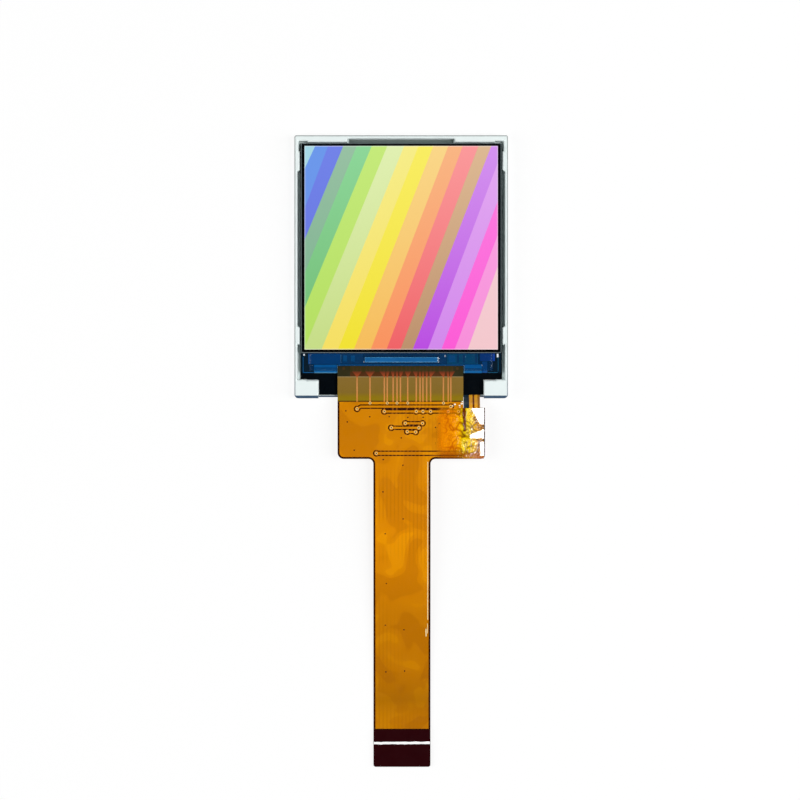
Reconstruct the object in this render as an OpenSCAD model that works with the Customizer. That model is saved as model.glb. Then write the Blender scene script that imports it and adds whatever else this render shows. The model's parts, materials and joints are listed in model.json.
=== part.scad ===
// A small colour display module that lies face up: a liquid crystal cell on a
// backlight, with a flexible printed circuit bonded to the cell's lower ledge.
// The origin is the middle of the moulded frame on its rear face. +X is right,
// +Y is the top edge of the picture and +Z points out of the screen.

/* [Frame] */
// Outside width of the moulded frame
frame_w = 28; // [24:0.5:36]
// Outside length of the moulded frame, without the flex
frame_l = 34.5; // [29:0.5:44]
// Thickness of the two side walls
side_wall = 0.4; // [0.3:0.05:0.7]
// Thickness of the top wall in its middle recess
top_wall = 0.47; // [0.3:0.01:0.7]
// How far the side pads stand in from the side walls
side_pad = 0.31; // [0.2:0.01:0.5]
// How far the top pads stand in from the top wall
top_pad = 0.46; // [0.3:0.01:0.6]
// Width of each foot block at the lower corners
foot_w = 3.15; // [2.6:0.05:3.8]
// Length of each foot block
foot_l = 2.45; // [2:0.05:2.6]
// Length of the side pads
pad_l = 2.2; // [1.5:0.1:3]
// Depth of the wall that closes the frame below the light sources
rail_w = 2.63; // [2.2:0.01:3]
// How much lower the walls are than the face of the screen
wall_drop = 0.15; // [0.05:0.05:0.3]

/* [Screen cell] */
// Gap between the cell and the side pads
cell_gap_side = 0.14; // [0.08:0.01:0.3]
// Gap between the cell and the top pads
cell_gap_top = 0.11; // [0.08:0.01:0.3]
// Distance from the lower edge of the cell to the lower end of the frame
chin = 3.29; // [3:0.01:4]
// Width of the bare ledge that carries the driver chip
ledge_w = 2.66; // [2.4:0.01:3.4]
// Thickness of each sheet of glass
glass_t = 0.5; // [0.3:0.05:0.7]
// Thickness of the seal and the liquid crystal between the sheets
cell_gap = 0.02; // [0.01:0.01:0.04]
// Dark border at the sides of the picture
border_side = 0.48; // [0.4:0.01:1]
// Dark border above the picture
border_top = 0.38; // [0.35:0.01:1]
// Dark border below the picture
border_low = 0.44; // [0.4:0.01:1]
// Thickness of the front polarizer
front_pol_t = 0.16; // [0.1:0.01:0.25]
// Thickness of the rear polarizer
rear_pol_t = 0.14; // [0.1:0.01:0.25]
// Width of the seal around the liquid crystal
seal_w = 0.25; // [0.15:0.01:0.3]

/* [Driver chip] */
// Length of the driver chip
chip_l = 9.54; // [8:0.01:12]
// Width of the driver chip
chip_w = 0.66; // [0.5:0.01:0.8]
// Thickness of the driver chip
chip_t = 0.3; // [0.2:0.01:0.4]
// Distance from the front glass to the chip
chip_gap = 0.56; // [0.4:0.01:0.8]
// Height of the clear resin poured over the ledge
resin_t = 0.22; // [0.1:0.01:0.28]

/* [Backlight] */
// Thickness of the reflector on the rear
reflector_t = 0.1; // [0.06:0.01:0.15]
// Thickness of the light guide
guide_t = 0.7; // [0.6:0.01:1]
// Thickness of the diffuser film
diffuser_t = 0.05; // [0.04:0.01:0.1]
// Thickness of each of the two prism films
prism_t = 0.06; // [0.05:0.01:0.1]
// Thickness of the black rim tape
tape_t = 0.06; // [0.04:0.01:0.1]
// Clearance around the light guide in its window
guide_clear = 0.08; // [0.04:0.01:0.15]
// Length of the locating ears on the films
ear_l = 3; // [2:0.1:4]
// How far the ears stand out
ear_w = 0.3; // [0.2:0.01:0.35]

/* [Light sources] */
// Distance between the light sources
led_pitch = 8; // [6:0.1:9]
// Length of a light source
led_l = 3.8; // [3:0.1:4.5]
// Depth of a light source
led_w = 1; // [0.8:0.05:1.2]
// Height of a light source
led_h = 0.6; // [0.4:0.05:0.6]
// Thickness of the light sources' flex film
led_film_t = 0.05; // [0.03:0.01:0.06]
// Width of the light sources' flex tail
led_tail_w = 2.15; // [1.8:0.05:2.4]
// Width of each lead of that tail
lead_w = 0.45; // [0.3:0.01:0.5]
// Distance between the two leads
lead_pitch = 0.68; // [0.6:0.01:0.8]
// Length of bare lead past the end of the film
lead_bare = 1; // [0.8:0.1:1.4]

/* [Flexible circuit] */
// Number of contacts at the end of the tail
contacts = 14; // [8:1:16]
// Contact pitch
pitch = 0.5; // [0.5:0.1:0.8]
// Width of each contact
contact_w = 0.35; // [0.3:0.01:0.4]
// Length of each bare contact
contact_l = 4; // [3:0.1:6]
// Length of the tail, from the flex body to its end
tail_l = 40.6; // [30:0.1:60]
// Sideways offset of the tail from the middle of the frame
tail_x = 0.1; // [-1:0.1:1]
// Overlap of the flex on the glass ledge
bond_lap = 0.95; // [0.7:0.01:1.2]
// Distance from the left foot to the left edge of the flex
flex_inset = 2.5; // [1:0.1:4]
// Distance from the frame's lower end to where the coverlay starts
cover_start = 0.45; // [0.3:0.01:1]
// Distance from the frame's lower end to the lower edge of the flex body
body_drop = 7.95; // [6:0.05:10]
// How far the flex body reaches past the light sources' tail
body_reach = 0.63; // [0.4:0.01:1]
// Thickness of the coverlay on each side
cover_t = 0.03; // [0.02:0.01:0.04]
// Thickness of the copper on each side
copper_t = 0.02; // [0.01:0.01:0.03]
// Thickness of the polyimide base film
base_t = 0.05; // [0.03:0.01:0.06]
// Thickness of the conductive bonding film on the glass
bond_t = 0.02; // [0.01:0.01:0.03]
// Thickness of the amber tape over the solder joints
joint_tape_t = 0.05; // [0.03:0.01:0.06]
// Width of that tape
joint_tape_w = 6.45; // [5:0.05:8]
// Thickness of the stiffener at the end of the tail
stiffener_t = 0.18; // [0.1:0.01:0.25]
// Length of the stiffener
stiffener_l = 4.9; // [4.5:0.1:8]
// Width of a printed line on the rear
line_w = 0.18; // [0.12:0.01:0.2]
// Width of a link line on the front
link_w = 0.28; // [0.2:0.01:0.3]
// Width of the supply line along the lower edge of the body
supply_w = 0.4; // [0.3:0.01:0.5]
// Bare gap on each side of a line
line_gap = 0.16; // [0.1:0.01:0.18]
// Diameter of the pad round a via
pad_d = 0.56; // [0.4:0.01:0.6]
// Diameter of a via
via_d = 0.16; // [0.1:0.01:0.2]

/* [Hidden] */
$fn = 32;

// Number of light sources, one node for each
led_count = 3;

// Small running clearance between stacked or nested pieces
slip = 0.02;
corner_steps = 6;

// Heights of the stack, from the rear face up
z_guide = reflector_t;
z_films = z_guide + guide_t;
z_film2 = z_films + diffuser_t;
z_film3 = z_film2 + prism_t;
films_t = diffuser_t + 2 * prism_t;
led_flex_t = copper_t + led_film_t + cover_t;
z_tape = z_films + max(films_t, led_flex_t);
z_rear_pol = z_tape + tape_t;
z_tft = z_rear_pol + rear_pol_t;
z_ledge = z_tft + glass_t;
z_cf = z_ledge + cell_gap;
z_front_pol = z_cf + glass_t;
z_face = z_front_pol + front_pol_t;
frame_h = z_face - wall_drop;
z_led = z_films - led_h;

// Plan of the frame
half_w = frame_w / 2;
half_l = frame_l / 2;
well_x = half_w - side_wall;
pad_x = well_x - side_pad;
recess_y = half_l - top_wall;
pad_y = recess_y - top_pad;
foot_x = half_w - foot_w;
foot_y = -half_l + foot_l;
rail_setback = 0.17;
rail_y = -half_l + rail_setback;
tape_setback = 0.28;
relief = 0.15;
recess_inset = 6.95;
recess_x = half_w - recess_inset;
recess_r = 0.2;
upper_pad_drop = 4.07;
upper_pad_y = recess_y - upper_pad_drop;
lower_pad_rise = 6.8;
lower_pad_y = foot_y + lower_pad_rise;

// Plan of the cell
cell_x = pad_x - cell_gap_side;
cell_top = pad_y - cell_gap_top;
cell_low = -half_l + chin;
cf_low = cell_low + ledge_w;
view_x = cell_x - border_side;
view_top = cell_top - border_top;
view_low = cf_low + border_low;
pol_inset = 0.2;
pol_x = cell_x - pol_inset;
chip_y = cf_low - chip_gap - chip_w;

// Plan of the backlight
guide_lap_side = 0.33;
guide_lap_top = 0.22;
guide_x = view_x + guide_lap_side;
guide_top = view_top + guide_lap_top;
pocket_y = -half_l + rail_w + slip;
led_clear = 0.15;
led_low = pocket_y + led_clear;
led_top = led_low + led_w;
led_air = 0.05;
guide_low = led_top + led_air;
film_inset = 0.05;
film_x = guide_x - film_inset;
film_top = guide_top - film_inset;
film_lap_low = 0.45;
film_low = view_low - film_lap_low;
shelf_x = guide_x + guide_clear;
shelf_top = guide_top + guide_clear;
window_low = guide_low - led_air;
reflector_lap = 0.25;
reflector_clear = 0.05;
ears_y = [view_top * 0.5, view_low * 0.4];
ear_clear = 0.08;
flute_r = 0.1;
flute_pitch = 0.3;
led_flex_top = film_low - 0.3;
led_flex_low = pocket_y - 0.2;
led_flex_x = shelf_x - 0.7;
groove_clear = 0.1;

// Light sources' tail, which climbs over the rail on to the main flex
led_tail_inset = 0.5;
led_tail_x1 = foot_x - led_tail_inset;
led_tail_x0 = led_tail_x1 - led_tail_w;
lead_inset = 0.95;
leads_x = [led_tail_x0 + lead_inset, led_tail_x0 + lead_inset + lead_pitch];

// Plan of the flex
flex_left = -foot_x + flex_inset;
tab_clear = 0.05;
tab_right = led_tail_x0 - tab_clear;
tab_w = tab_right - flex_left;
body_right = led_tail_x1 + body_reach;
body_w = body_right - flex_left;
tab_top = cell_low + bond_lap;
cover_top = -half_l - cover_start;
arm_drop = 1.25;
arm_top = -half_l - arm_drop;
body_low = -half_l - body_drop;
tail_w = (contacts + 1) * pitch;
tail_left = tail_x - tail_w / 2;
tail_right = tail_x + tail_w / 2;
tail_end = body_low - tail_l;
body_r = 0.8;
arm_r = 0.5;
root_r = 0.65;
tip_r = 0.3;
rear_cover_top = cell_low - 0.14;
copper_inset = 0.25;

// Heights of the flex layers above the underside of the rear coverlay
h_rear_copper = cover_t;
h_base = h_rear_copper + copper_t;
h_front_copper = h_base + base_t;
h_front_cover = h_front_copper + copper_t;
h_stiffener = h_front_cover + cover_t;
z_flex = z_ledge + bond_t - h_rear_copper;
z_flex_front = z_flex + h_stiffener;

// The tail lies level by the body, sinks in a long S and lies on the table
bend_start = body_low - 1;
bend_end = tail_end + stiffener_l + 3;
bend_steps = 16;

// The light sources' tail climbs from the rail to the face of the main flex
climb_start = -half_l + 0.5;
climb_end = arm_top + 0.05;
climb_steps = 10;
led_tail_lap = 1.95;
led_tail_end = climb_end - led_tail_lap;
lead_end = led_tail_end - lead_bare;
pad_margin = 0.2;
pads_top = led_tail_end + pad_margin;
pads_low = lead_end - 2 * pad_margin;

// Printed lines: each bond line's place as a share of the tab's width
bond_share = [
    0.155, 0.258, 0.372, 0.395, 0.442, 0.473, 0.500, 0.558,
    0.626, 0.656, 0.679, 0.709, 0.740, 0.842, 0.880, 0.901
];
// Bond lines that run on into the tail, from left to right
through = [0, 1, 2, 4, 5, 7, 8, 9, 11, 12, 13, 15];
stub_low = cover_top - 0.5;
fan_top = stub_low - 0.1;
fan_low = body_low + 0.9;
led_line_step = 0.3;
led_line_rise = 1.1;
funnel_top = cell_low + 0.3;
funnel_low = funnel_top - 0.75;
funnel_reach = 0.7;
finger_pitch = 0.4;
finger_w = 0.2;
finger_end = 0.05;
head_gap = 0.05;

// Round alignment marks beside the bond lines
mark_d = 0.4;
mark_inset = 0.8;
marks_x = [flex_left + mark_inset, tab_right - mark_inset];

// Vias of the ground copper: share of the body's width, depth below the coverlay's edge
ground_vias = [
    [0.056, 1.20], [0.066, 2.65], [0.219, 1.98], [0.350, 1.95], [0.477, 2.06],
    [0.581, 2.04], [0.113, 6.36], [0.432, 4.75], [0.690, 2.87], [0.665, 3.38],
    [0.310, 7.59], [0.444, 8.33]
];

function bond_x(i) = flex_left + tab_w * bond_share[i];
function tail_line_x(i) = tail_left + pitch * (i + 1);
function body_x(share) = flex_left + body_w * share;
function body_y(depth) = cover_top - depth;
function body_at(share, depth) = [body_x(share), body_y(depth)];
function led_x(i) = (i - (led_count - 1) / 2) * led_pitch;

// Bond lines that the ground copper's top strip picks up, and those of the second link
strapped = [1, 3, 5, 7, 13];
linked = [2, 8, 10, 12, 14];
row_1 = cover_top - 0.17;
row_1_pad = 0.3;
row_2 = cover_top - 0.64;
row_3 = cover_top - 1.28;
low_row = body_low + 0.73;

// Front links: the points of each, the numbers of those that have a pad, and its width
links = [
    [[[bond_x(0), row_2 - 0.3], [bond_x(0) + 0.5, row_2], [bond_x(15), row_2]], [0, 2], link_w],
    [concat([for (i = linked) [bond_x(i), row_3]], [[body_x(0.82), row_3]]),
     [0, 1, 2, 3, 4, 5], link_w],
    [[body_at(0.460, 2.83), body_at(0.577, 2.83)], [0, 1], link_w],
    [[body_at(0.365, 3.42), body_at(0.552, 3.42)], [0, 1], link_w],
    [[body_at(0.473, 3.93), body_at(0.530, 3.98)], [0, 1], link_w],
    [[[body_x(0.263), low_row], [body_x(0.921), low_row]], [0, 1], supply_w]
];
// Corners of the gap that three short links share
shared_gap = [links[2][0][0], links[2][0][1], links[4][0][1], links[4][0][0]];

function arc(c, r, a0, a1) = [
    for (i = [0 : corner_steps])
        let (a = a0 + (a1 - a0) * i / corner_steps)
        [c[0] + r * cos(a), c[1] + r * sin(a)]
];

function s_curve(y0, z0, y1, z1, steps) = [
    for (i = [0 : steps])
        let (t = i / steps)
        [y0 + (y1 - y0) * t, z0 + (z1 - z0) * (1 - cos(180 * t)) / 2]
];

sink_path = concat(
    [[bend_start, z_flex]],
    s_curve(bend_start - line_w, z_flex, bend_end, 0, bend_steps)
);
led_path = concat(
    [[led_flex_low, z_films]],
    s_curve(climb_start, z_films, climb_end, z_flex_front, climb_steps)
);

// A box given by its edges
module block(x0, x1, y0, y1, z0, z1) {
    translate([x0, y0, z0]) cube([x1 - x0, y1 - y0, z1 - z0]);
}

// The same outline in the plane
module patch(x0, x1, y0, y1) {
    translate([x0, y0]) square([x1 - x0, y1 - y0]);
}

module both_sides() {
    children();
    mirror([1, 0, 0]) children();
}

// A flat sheet with its four corners cut
module sheet(x0, x1, y0, y1, z, t, cut = 0.15) {
    translate([0, 0, z]) linear_extrude(t)
        polygon([
            [x0 + cut, y0], [x1 - cut, y0], [x1, y0 + cut], [x1, y1 - cut],
            [x1 - cut, y1], [x0 + cut, y1], [x0, y1 - cut], [x0, y0 + cut]
        ]);
}

// A band that follows a path in Y and Z, between two heights above it
module ribbon(path, h0, h1, x0, x1) {
    last = len(path) - 1;
    translate([x0, 0, 0]) rotate([90, 0, 90]) linear_extrude(x1 - x0)
        polygon(concat(
            [for (p = path) [p[0], p[1] + h0]],
            [for (i = [last : -1 : 0]) [path[i][0], path[i][1] + h1]]
        ));
}

// A printed line with round ends through a list of points
module track(points, width) {
    for (i = [0 : len(points) - 1])
        translate(points[i]) circle(d = width);
    for (i = [0 : len(points) - 2]) {
        run = points[i + 1] - points[i];
        translate(points[i]) rotate(atan2(run[1], run[0]))
            translate([0, -width / 2]) square([norm(run), width]);
    }
}

module frame_outline() {
    top_r = 0.25;
    low_r = 0.5;
    polygon(concat(
        arc([half_w - top_r, half_l - top_r], top_r, 0, 90),
        arc([-half_w + top_r, half_l - top_r], top_r, 90, 180),
        arc([-half_w + low_r, -half_l + low_r], low_r, 180, 270),
        [[-foot_x, -half_l], [-foot_x, rail_y], [foot_x, rail_y], [foot_x, -half_l]],
        arc([half_w - low_r, -half_l + low_r], low_r, 270, 360)
    ));
}

// The well that the cell drops into, with its pads, recess and corner reliefs
module frame_well() {
    lead_in = 0.26;
    relief_gap = 0.25;
    patch(-pad_x, pad_x, foot_y, pad_y);
    patch(-foot_x, foot_x, -half_l - 1, foot_y + 1);
    patch(-recess_x, recess_x, pad_y - 1, recess_y - recess_r);
    patch(-recess_x + recess_r, recess_x - recess_r, pad_y - 1, recess_y);
    both_sides() {
        translate([recess_x - recess_r, recess_y - recess_r]) circle(recess_r);
        patch(pad_x - 1, well_x, foot_y, lower_pad_y - pad_l);
        polygon([
            [pad_x - 1, lower_pad_y], [pad_x, lower_pad_y], [well_x, lower_pad_y + lead_in],
            [well_x, upper_pad_y - lead_in], [pad_x, upper_pad_y], [pad_x - 1, upper_pad_y]
        ]);
        patch(pad_x - 1, pad_x + relief, upper_pad_y + pad_l + relief_gap, pad_y + relief);
    }
}

module backlight_frame() {
    mark_r = 0.6;
    mark_t = 0.05;
    rib_w = 2;
    rib_back = 0.25;
    seat = reflector_lap + reflector_clear;
    color("white")
    difference() {
        linear_extrude(frame_h) frame_outline();
        // Well for the cell
        translate([0, 0, z_tape]) linear_extrude(frame_h) frame_well();
        // Window for the light guide, and the pocket of the light sources below it
        block(-shelf_x, shelf_x, window_low, shelf_top, -1, frame_h);
        difference() {
            block(-shelf_x, shelf_x, pocket_y, window_low + slip, z_led - slip, frame_h);
            for (i = [1 : led_count - 1])
                translate([(i - led_count / 2) * led_pitch, 0, 0])
                    block(-rib_w / 2, rib_w / 2, pocket_y - 1, window_low - rib_back, 0, z_films - slip);
        }
        // Recess for the reflector on the rear
        block(-shelf_x - seat, shelf_x + seat, window_low - seat, shelf_top + seat, -1, reflector_t);
        // Pockets for the ears of the films
        for (y = ears_y)
            block(
                shelf_x - 1, film_x + ear_w + ear_clear,
                y - ear_l / 2 - ear_clear, y + ear_l / 2 + ear_clear, z_films, frame_h
            );
        // Groove that lets the light sources' tail out over the rail
        block(
            led_tail_x0 - groove_clear, led_tail_x1 + groove_clear,
            -half_l - 1, pocket_y + slip, z_films, frame_h
        );
        // Shallow seat for the light sources' flex on the rail
        block(
            -led_flex_x - groove_clear, led_flex_x + groove_clear,
            led_flex_low - groove_clear, pocket_y + slip, z_films, frame_h
        );
        // Ejector marks on the rear of the rail
        for (x = [-foot_x, 0, foot_x])
            translate([x, (rail_y + pocket_y) / 2, -1]) cylinder(r = mark_r, h = 1 + mark_t);
    }
}

module reflector_film() {
    lap = reflector_lap;
    color("silver")
        sheet(-shelf_x - lap, shelf_x + lap, window_low - lap, shelf_top + lap, 0, reflector_t);
}

// Clear plate with a row of light-entry flutes in front of each light source
module light_guide() {
    flute_end = 0.2;
    corner_cut = 0.3;
    flutes = floor((led_l - 2 * flute_end) / flute_pitch);
    color("lightcyan")
    difference() {
        sheet(-guide_x, guide_x, guide_low, guide_top, z_guide, guide_t, corner_cut);
        for (i = [0 : led_count - 1], k = [0 : flutes])
            translate([
                led_x(i) + (k - flutes / 2) * flute_pitch, guide_low, z_guide - 1
            ])
                cylinder(r = flute_r, h = guide_t + 2);
    }
}

// One optical film, with the ears that stop it turning
module optical_film(z, t, tint) {
    root = 0.5;
    color(tint)
    union() {
        sheet(-film_x, film_x, film_low, film_top, z, t);
        for (y = ears_y)
            block(film_x - root, film_x + ear_w, y - ear_l / 2, y + ear_l / 2, z, z + t);
    }
}

module diffuser_film() {
    optical_film(z_films, diffuser_t, "whitesmoke");
}

module lower_prism_film() {
    optical_film(z_film2, prism_t, "gainsboro");
}

module upper_prism_film() {
    optical_film(z_film3, prism_t, "lightgray");
}

// A side-view light source: white shell, phosphor window towards the guide, two end terminals
module led(i) {
    wall = 0.1;
    depth = 0.35;
    notch = 0.2;
    window_inset = 0.6;
    color("khaki")
    translate([led_x(i), led_low, z_led])
    difference() {
        translate([-led_l / 2, 0, 0]) cube([led_l, led_w, led_h]);
        translate([-led_l / 2 + window_inset, led_w - depth, wall])
            cube([led_l - 2 * window_inset, depth + 1, led_h - 2 * wall]);
        both_sides()
            translate([led_l / 2 - notch, -1, -1]) cube([1, 1 + notch, led_h + 2]);
    }
}

module led_1() {
    led(0);
}

module led_2() {
    led(1);
}

module led_3() {
    led(2);
}

// Copper of the light sources' flex: pads over each source, joined in a row, and two leads
module led_flex_copper() {
    bus_w = 0.3;
    bus_y = led_flex_low + 0.1;
    pad_inset = 0.1;
    pad_low = led_low + pad_inset;
    pad_high = led_top - pad_inset;
    pad_mid = led_l / 2 - 0.5;
    pad_half = 0.4;
    row_low = led_low + 0.35;
    row_high = row_low + bus_w;
    drop_x = led_x(0) - led_l / 2 + 0.2;
    color("goldenrod")
    union() {
        translate([0, 0, z_films]) linear_extrude(copper_t) {
            for (i = [0 : led_count - 1], side = [-1, 1])
                patch(
                    led_x(i) + side * pad_mid - pad_half, led_x(i) + side * pad_mid + pad_half,
                    pad_low, pad_high
                );
            for (i = [0 : led_count - 2])
                patch(led_x(i) + pad_mid, led_x(i + 1) - pad_mid, row_low, row_high);
            patch(drop_x, drop_x + bus_w, bus_y, pad_high);
            patch(drop_x, leads_x[0] + lead_w / 2, bus_y, bus_y + bus_w);
            patch(leads_x[0] - lead_w / 2, leads_x[0] + lead_w / 2, led_flex_low, bus_y + bus_w);
            patch(led_x(led_count - 1) + pad_mid, leads_x[1] + lead_w / 2, row_low, row_high);
            patch(leads_x[1] - lead_w / 2, leads_x[1] + lead_w / 2, led_flex_low, row_high);
        }
        for (x = leads_x)
            ribbon(
                concat(led_path, [[lead_end, z_flex_front]]),
                0, copper_t, x - lead_w / 2, x + lead_w / 2
            );
    }
}

// One layer of that flex: a strip over the light sources and the tail that climbs out
module led_flex_layer(h, t, inset, tint) {
    color(tint)
    union() {
        block(
            -led_flex_x + inset, led_flex_x - inset, led_flex_low, led_flex_top - inset,
            z_films + h, z_films + h + t
        );
        ribbon(
            concat(led_path, [[led_tail_end + inset, z_flex_front]]),
            h, h + t, led_tail_x0 + inset, led_tail_x1 - inset
        );
    }
}

module led_flex_film() {
    led_flex_layer(copper_t, led_film_t, 0, "peru");
}

module led_flex_coverlay() {
    led_flex_layer(copper_t + led_film_t, cover_t, slip, "chocolate");
}

// Black tape that holds the cell on the frame and hides the light sources
module rim_tape() {
    edge = 0.04;
    lap = 0.15;
    color("black")
    translate([0, 0, z_tape]) linear_extrude(tape_t)
    difference() {
        union() {
            patch(-pad_x + edge, pad_x - edge, foot_y + edge, pad_y - edge);
            patch(-foot_x + edge, foot_x - edge, rail_y + tape_setback, foot_y + 1);
            patch(-recess_x + recess_r, recess_x - recess_r, pad_y - 1, recess_y - edge);
        }
        patch(-view_x - lap, view_x + lap, view_low - lap, view_top + lap);
    }
}

module rear_polarizer() {
    lap = 0.35;
    color("dimgray")
        sheet(-pol_x, pol_x, view_low - lap, cell_top - pol_inset, z_rear_pol, rear_pol_t);
}

module tft_glass() {
    color("slategray") sheet(-cell_x, cell_x, cell_low, cell_top, z_tft, glass_t, 0.2);
}

// Seal that runs round the picture area between the two sheets
module cell_seal() {
    color("dimgray")
    translate([0, 0, z_ledge]) linear_extrude(cell_gap)
    difference() {
        crystal_outline(seal_w);
        crystal_outline(0);
    }
}

module crystal_outline(grow) {
    margin = 0.05 + grow;
    patch(-view_x - margin, view_x + margin, view_low - margin, view_top + margin);
}

module liquid_crystal() {
    color("lavender")
    translate([0, 0, z_ledge]) linear_extrude(cell_gap) crystal_outline(0);
}

module cf_glass() {
    color("slategray") sheet(-cell_x, cell_x, cf_low, cell_top, z_cf, glass_t, 0.1);
}

module front_polarizer() {
    inset_low = 0.15;
    inset_top = 0.13;
    corner_cut = 0.1;
    color("mediumorchid")
        sheet(
            -pol_x, pol_x, cf_low + inset_low, cell_top - inset_top, z_front_pol, front_pol_t,
            corner_cut
        );
}

module driver_chip() {
    color("steelblue")
        block(-chip_l / 2, chip_l / 2, chip_y, chip_y + chip_w, z_ledge, z_ledge + chip_t);
}

// Clear blue resin over the ledge, round the chip and up to the flex
module ledge_resin() {
    end_inset = 1.1;
    low_inset = 0.3;
    toe = 1.5;
    slope = 0.5;
    low = cell_low + low_inset;
    color("darkblue")
    difference() {
        translate([0, 0, z_ledge]) linear_extrude(resin_t)
            polygon([
                [-cell_x + end_inset, cf_low], [cell_x - end_inset, cf_low],
                [cell_x - end_inset, low + slope], [tab_right + toe, low],
                [tab_right + slip, low], [tab_right + slip, tab_top + slip],
                [flex_left - slip, tab_top + slip], [flex_left - slip, low],
                [flex_left - toe, low], [-cell_x + end_inset, low + slope]
            ]);
        block(
            -chip_l / 2, chip_l / 2, chip_y, chip_y + chip_w, z_ledge - 1, z_ledge + chip_t
        );
    }
}

// Conductive film that bonds the flex to the ledge
module bond_film() {
    margin = 0.1;
    color("olive")
        block(
            flex_left + margin, tab_right - margin, cell_low + slip, tab_top - slip,
            z_ledge, z_ledge + bond_t
        );
}

// Outline of the flex body: the tab on the glass, the body and the arm for the light sources
module flex_plan(top, inset = 0) {
    left = flex_left + inset;
    right = body_right - inset;
    low = body_low + inset;
    left_r = body_r - inset;
    right_r = arm_r - inset;
    root_y = body_low - root_r;
    polygon(concat(
        [[left, top]],
        arc([left + left_r, low + left_r], left_r, 180, 270),
        arc([tail_left - root_r, root_y], root_r + inset, 90, 0),
        [[tail_left + inset, bend_start], [tail_right - inset, bend_start]],
        arc([tail_right + root_r, root_y], root_r + inset, 180, 90),
        arc([right - right_r, low + right_r], right_r, 270, 360),
        [[right, arm_top - inset], [tab_right, arm_top - inset], [tab_right, top]]
    ));
}

// The last flat stretch of the tail, with its two end corners rounded
module tail_tip(top) {
    polygon(concat(
        [[tail_right, top], [tail_left, top]],
        arc([tail_left + tip_r, tail_end + tip_r], tip_r, 180, 270),
        arc([tail_right - tip_r, tail_end + tip_r], tip_r, 270, 360)
    ));
}

// One full layer of the flex, from a top edge down to the tip of the tail
module flex_layer(h, t, top) {
    translate([0, 0, z_flex + h]) linear_extrude(t) flex_plan(top);
    ribbon(sink_path, h, h + t, tail_left, tail_right);
    translate([0, 0, h]) linear_extrude(t) tail_tip(bend_end);
}

module flex_rear_coverlay() {
    color("orange")
    difference() {
        flex_layer(0, cover_t, rear_cover_top);
        block(
            tail_left - 1, tail_right + 1, tail_end - 1, tail_end + contact_l, -1, cover_t + 1
        );
    }
}

// Free width beside a bond line, up to its neighbour or the mark, for the funnel at its head
function reach(i, side) =
    let (next = i + side, mark_x = marks_x[side < 0 ? 0 : 1])
    min(
        funnel_reach,
        next < 0 || next >= len(bond_share)
            ? abs(mark_x - bond_x(i)) - mark_d / 2 - head_gap
            : abs(bond_x(next) - bond_x(i)) / 2 - head_gap
    );

// Head of a bond line: fine fingers on the glass that a funnel gathers into the line
module bond_head(i) {
    x0 = bond_x(i) - reach(i, -1);
    x1 = bond_x(i) + reach(i, 1);
    fingers = max(1, floor((x1 - x0) / finger_pitch));
    step = (x1 - x0) / fingers;
    finger = min(finger_w, (x1 - x0) / 2);
    polygon([
        [x0, funnel_top], [x1, funnel_top], [bond_x(i) + line_w / 2, funnel_low],
        [bond_x(i) - line_w / 2, funnel_low]
    ]);
    for (k = [0 : fingers - 1])
        translate([x0 + step * (k + 0.5), 0])
            patch(-finger / 2, finger / 2, funnel_top - slip, tab_top - finger_end);
}

// A line of the light sources, from its pad on the arm into the tail
module led_line(k) {
    x = tail_line_x(contacts - 2 + k);
    drop = led_line_step * (k + 1);
    shift = 0.2;
    track([
        [leads_x[k], pads_low + pad_margin], [leads_x[k], fan_low + led_line_rise - drop],
        [x + shift, fan_low - drop], [x, fan_low - 2 * drop], [x, bend_start]
    ], line_w);
}

// Rear copper: bond lines, their fan into the tail and the contacts at its tip
module flex_rear_copper() {
    low_h = h_rear_copper;
    high_h = h_rear_copper + copper_t;
    carried = min(contacts - 2, len(through));
    color("goldenrod")
    union() {
        translate([0, 0, z_flex + low_h]) linear_extrude(copper_t) {
            for (i = [0 : len(bond_share) - 1]) {
                bond_head(i);
                track([[bond_x(i), funnel_low], [bond_x(i), stub_low]], line_w);
            }
            for (k = [0 : carried - 1])
                track([
                    [bond_x(through[k]), stub_low], [bond_x(through[k]), fan_top],
                    [tail_line_x(k), fan_low], [tail_line_x(k), bend_start]
                ], line_w);
            led_line(0);
            led_line(1);
            for (x = marks_x)
                translate([x, (funnel_top + tab_top) / 2]) circle(d = mark_d);
        }
        for (k = [0 : contacts - 1])
            translate([tail_line_x(k), 0, 0]) {
                ribbon(sink_path, low_h, high_h, -line_w / 2, line_w / 2);
                block(
                    -line_w / 2, line_w / 2, tail_end + contact_l, bend_end, low_h, high_h
                );
                block(
                    -contact_w / 2, contact_w / 2, tail_end + tip_r, tail_end + contact_l,
                    low_h, high_h
                );
            }
    }
}

module flex_base_film() {
    color("orange") flex_layer(h_base, base_t, tab_top);
}

// A link line with its pads, made wider by a margin on every side
module link_shape(link, margin) {
    track(link[0], link[2] + 2 * margin);
    for (i = link[1])
        translate(link[0][i]) circle(d = pad_d + 2 * margin);
}

// Ground copper in the body, with bare gaps round every link and round the solder pads
module front_copper_plan() {
    pads_x0 = leads_x[0] - lead_w / 2;
    pads_x1 = leads_x[1] + lead_w / 2;
    difference() {
        flex_plan(cover_top - slip, copper_inset);
        for (link = links)
            link_shape(link, line_gap);
        // Rows that lie close together share one gap
        patch(bond_x(2), bond_x(15), row_3, row_2);
        polygon(shared_gap);
        patch(
            pads_x0 - line_gap, pads_x1 + line_gap, pads_low - line_gap, pads_top + line_gap
        );
    }
    for (link = links)
        link_shape(link, 0);
    for (i = strapped)
        translate([bond_x(i), row_1]) circle(d = row_1_pad);
    for (x = leads_x)
        patch(x - lead_w / 2, x + lead_w / 2, pads_low, pads_top);
}

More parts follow.
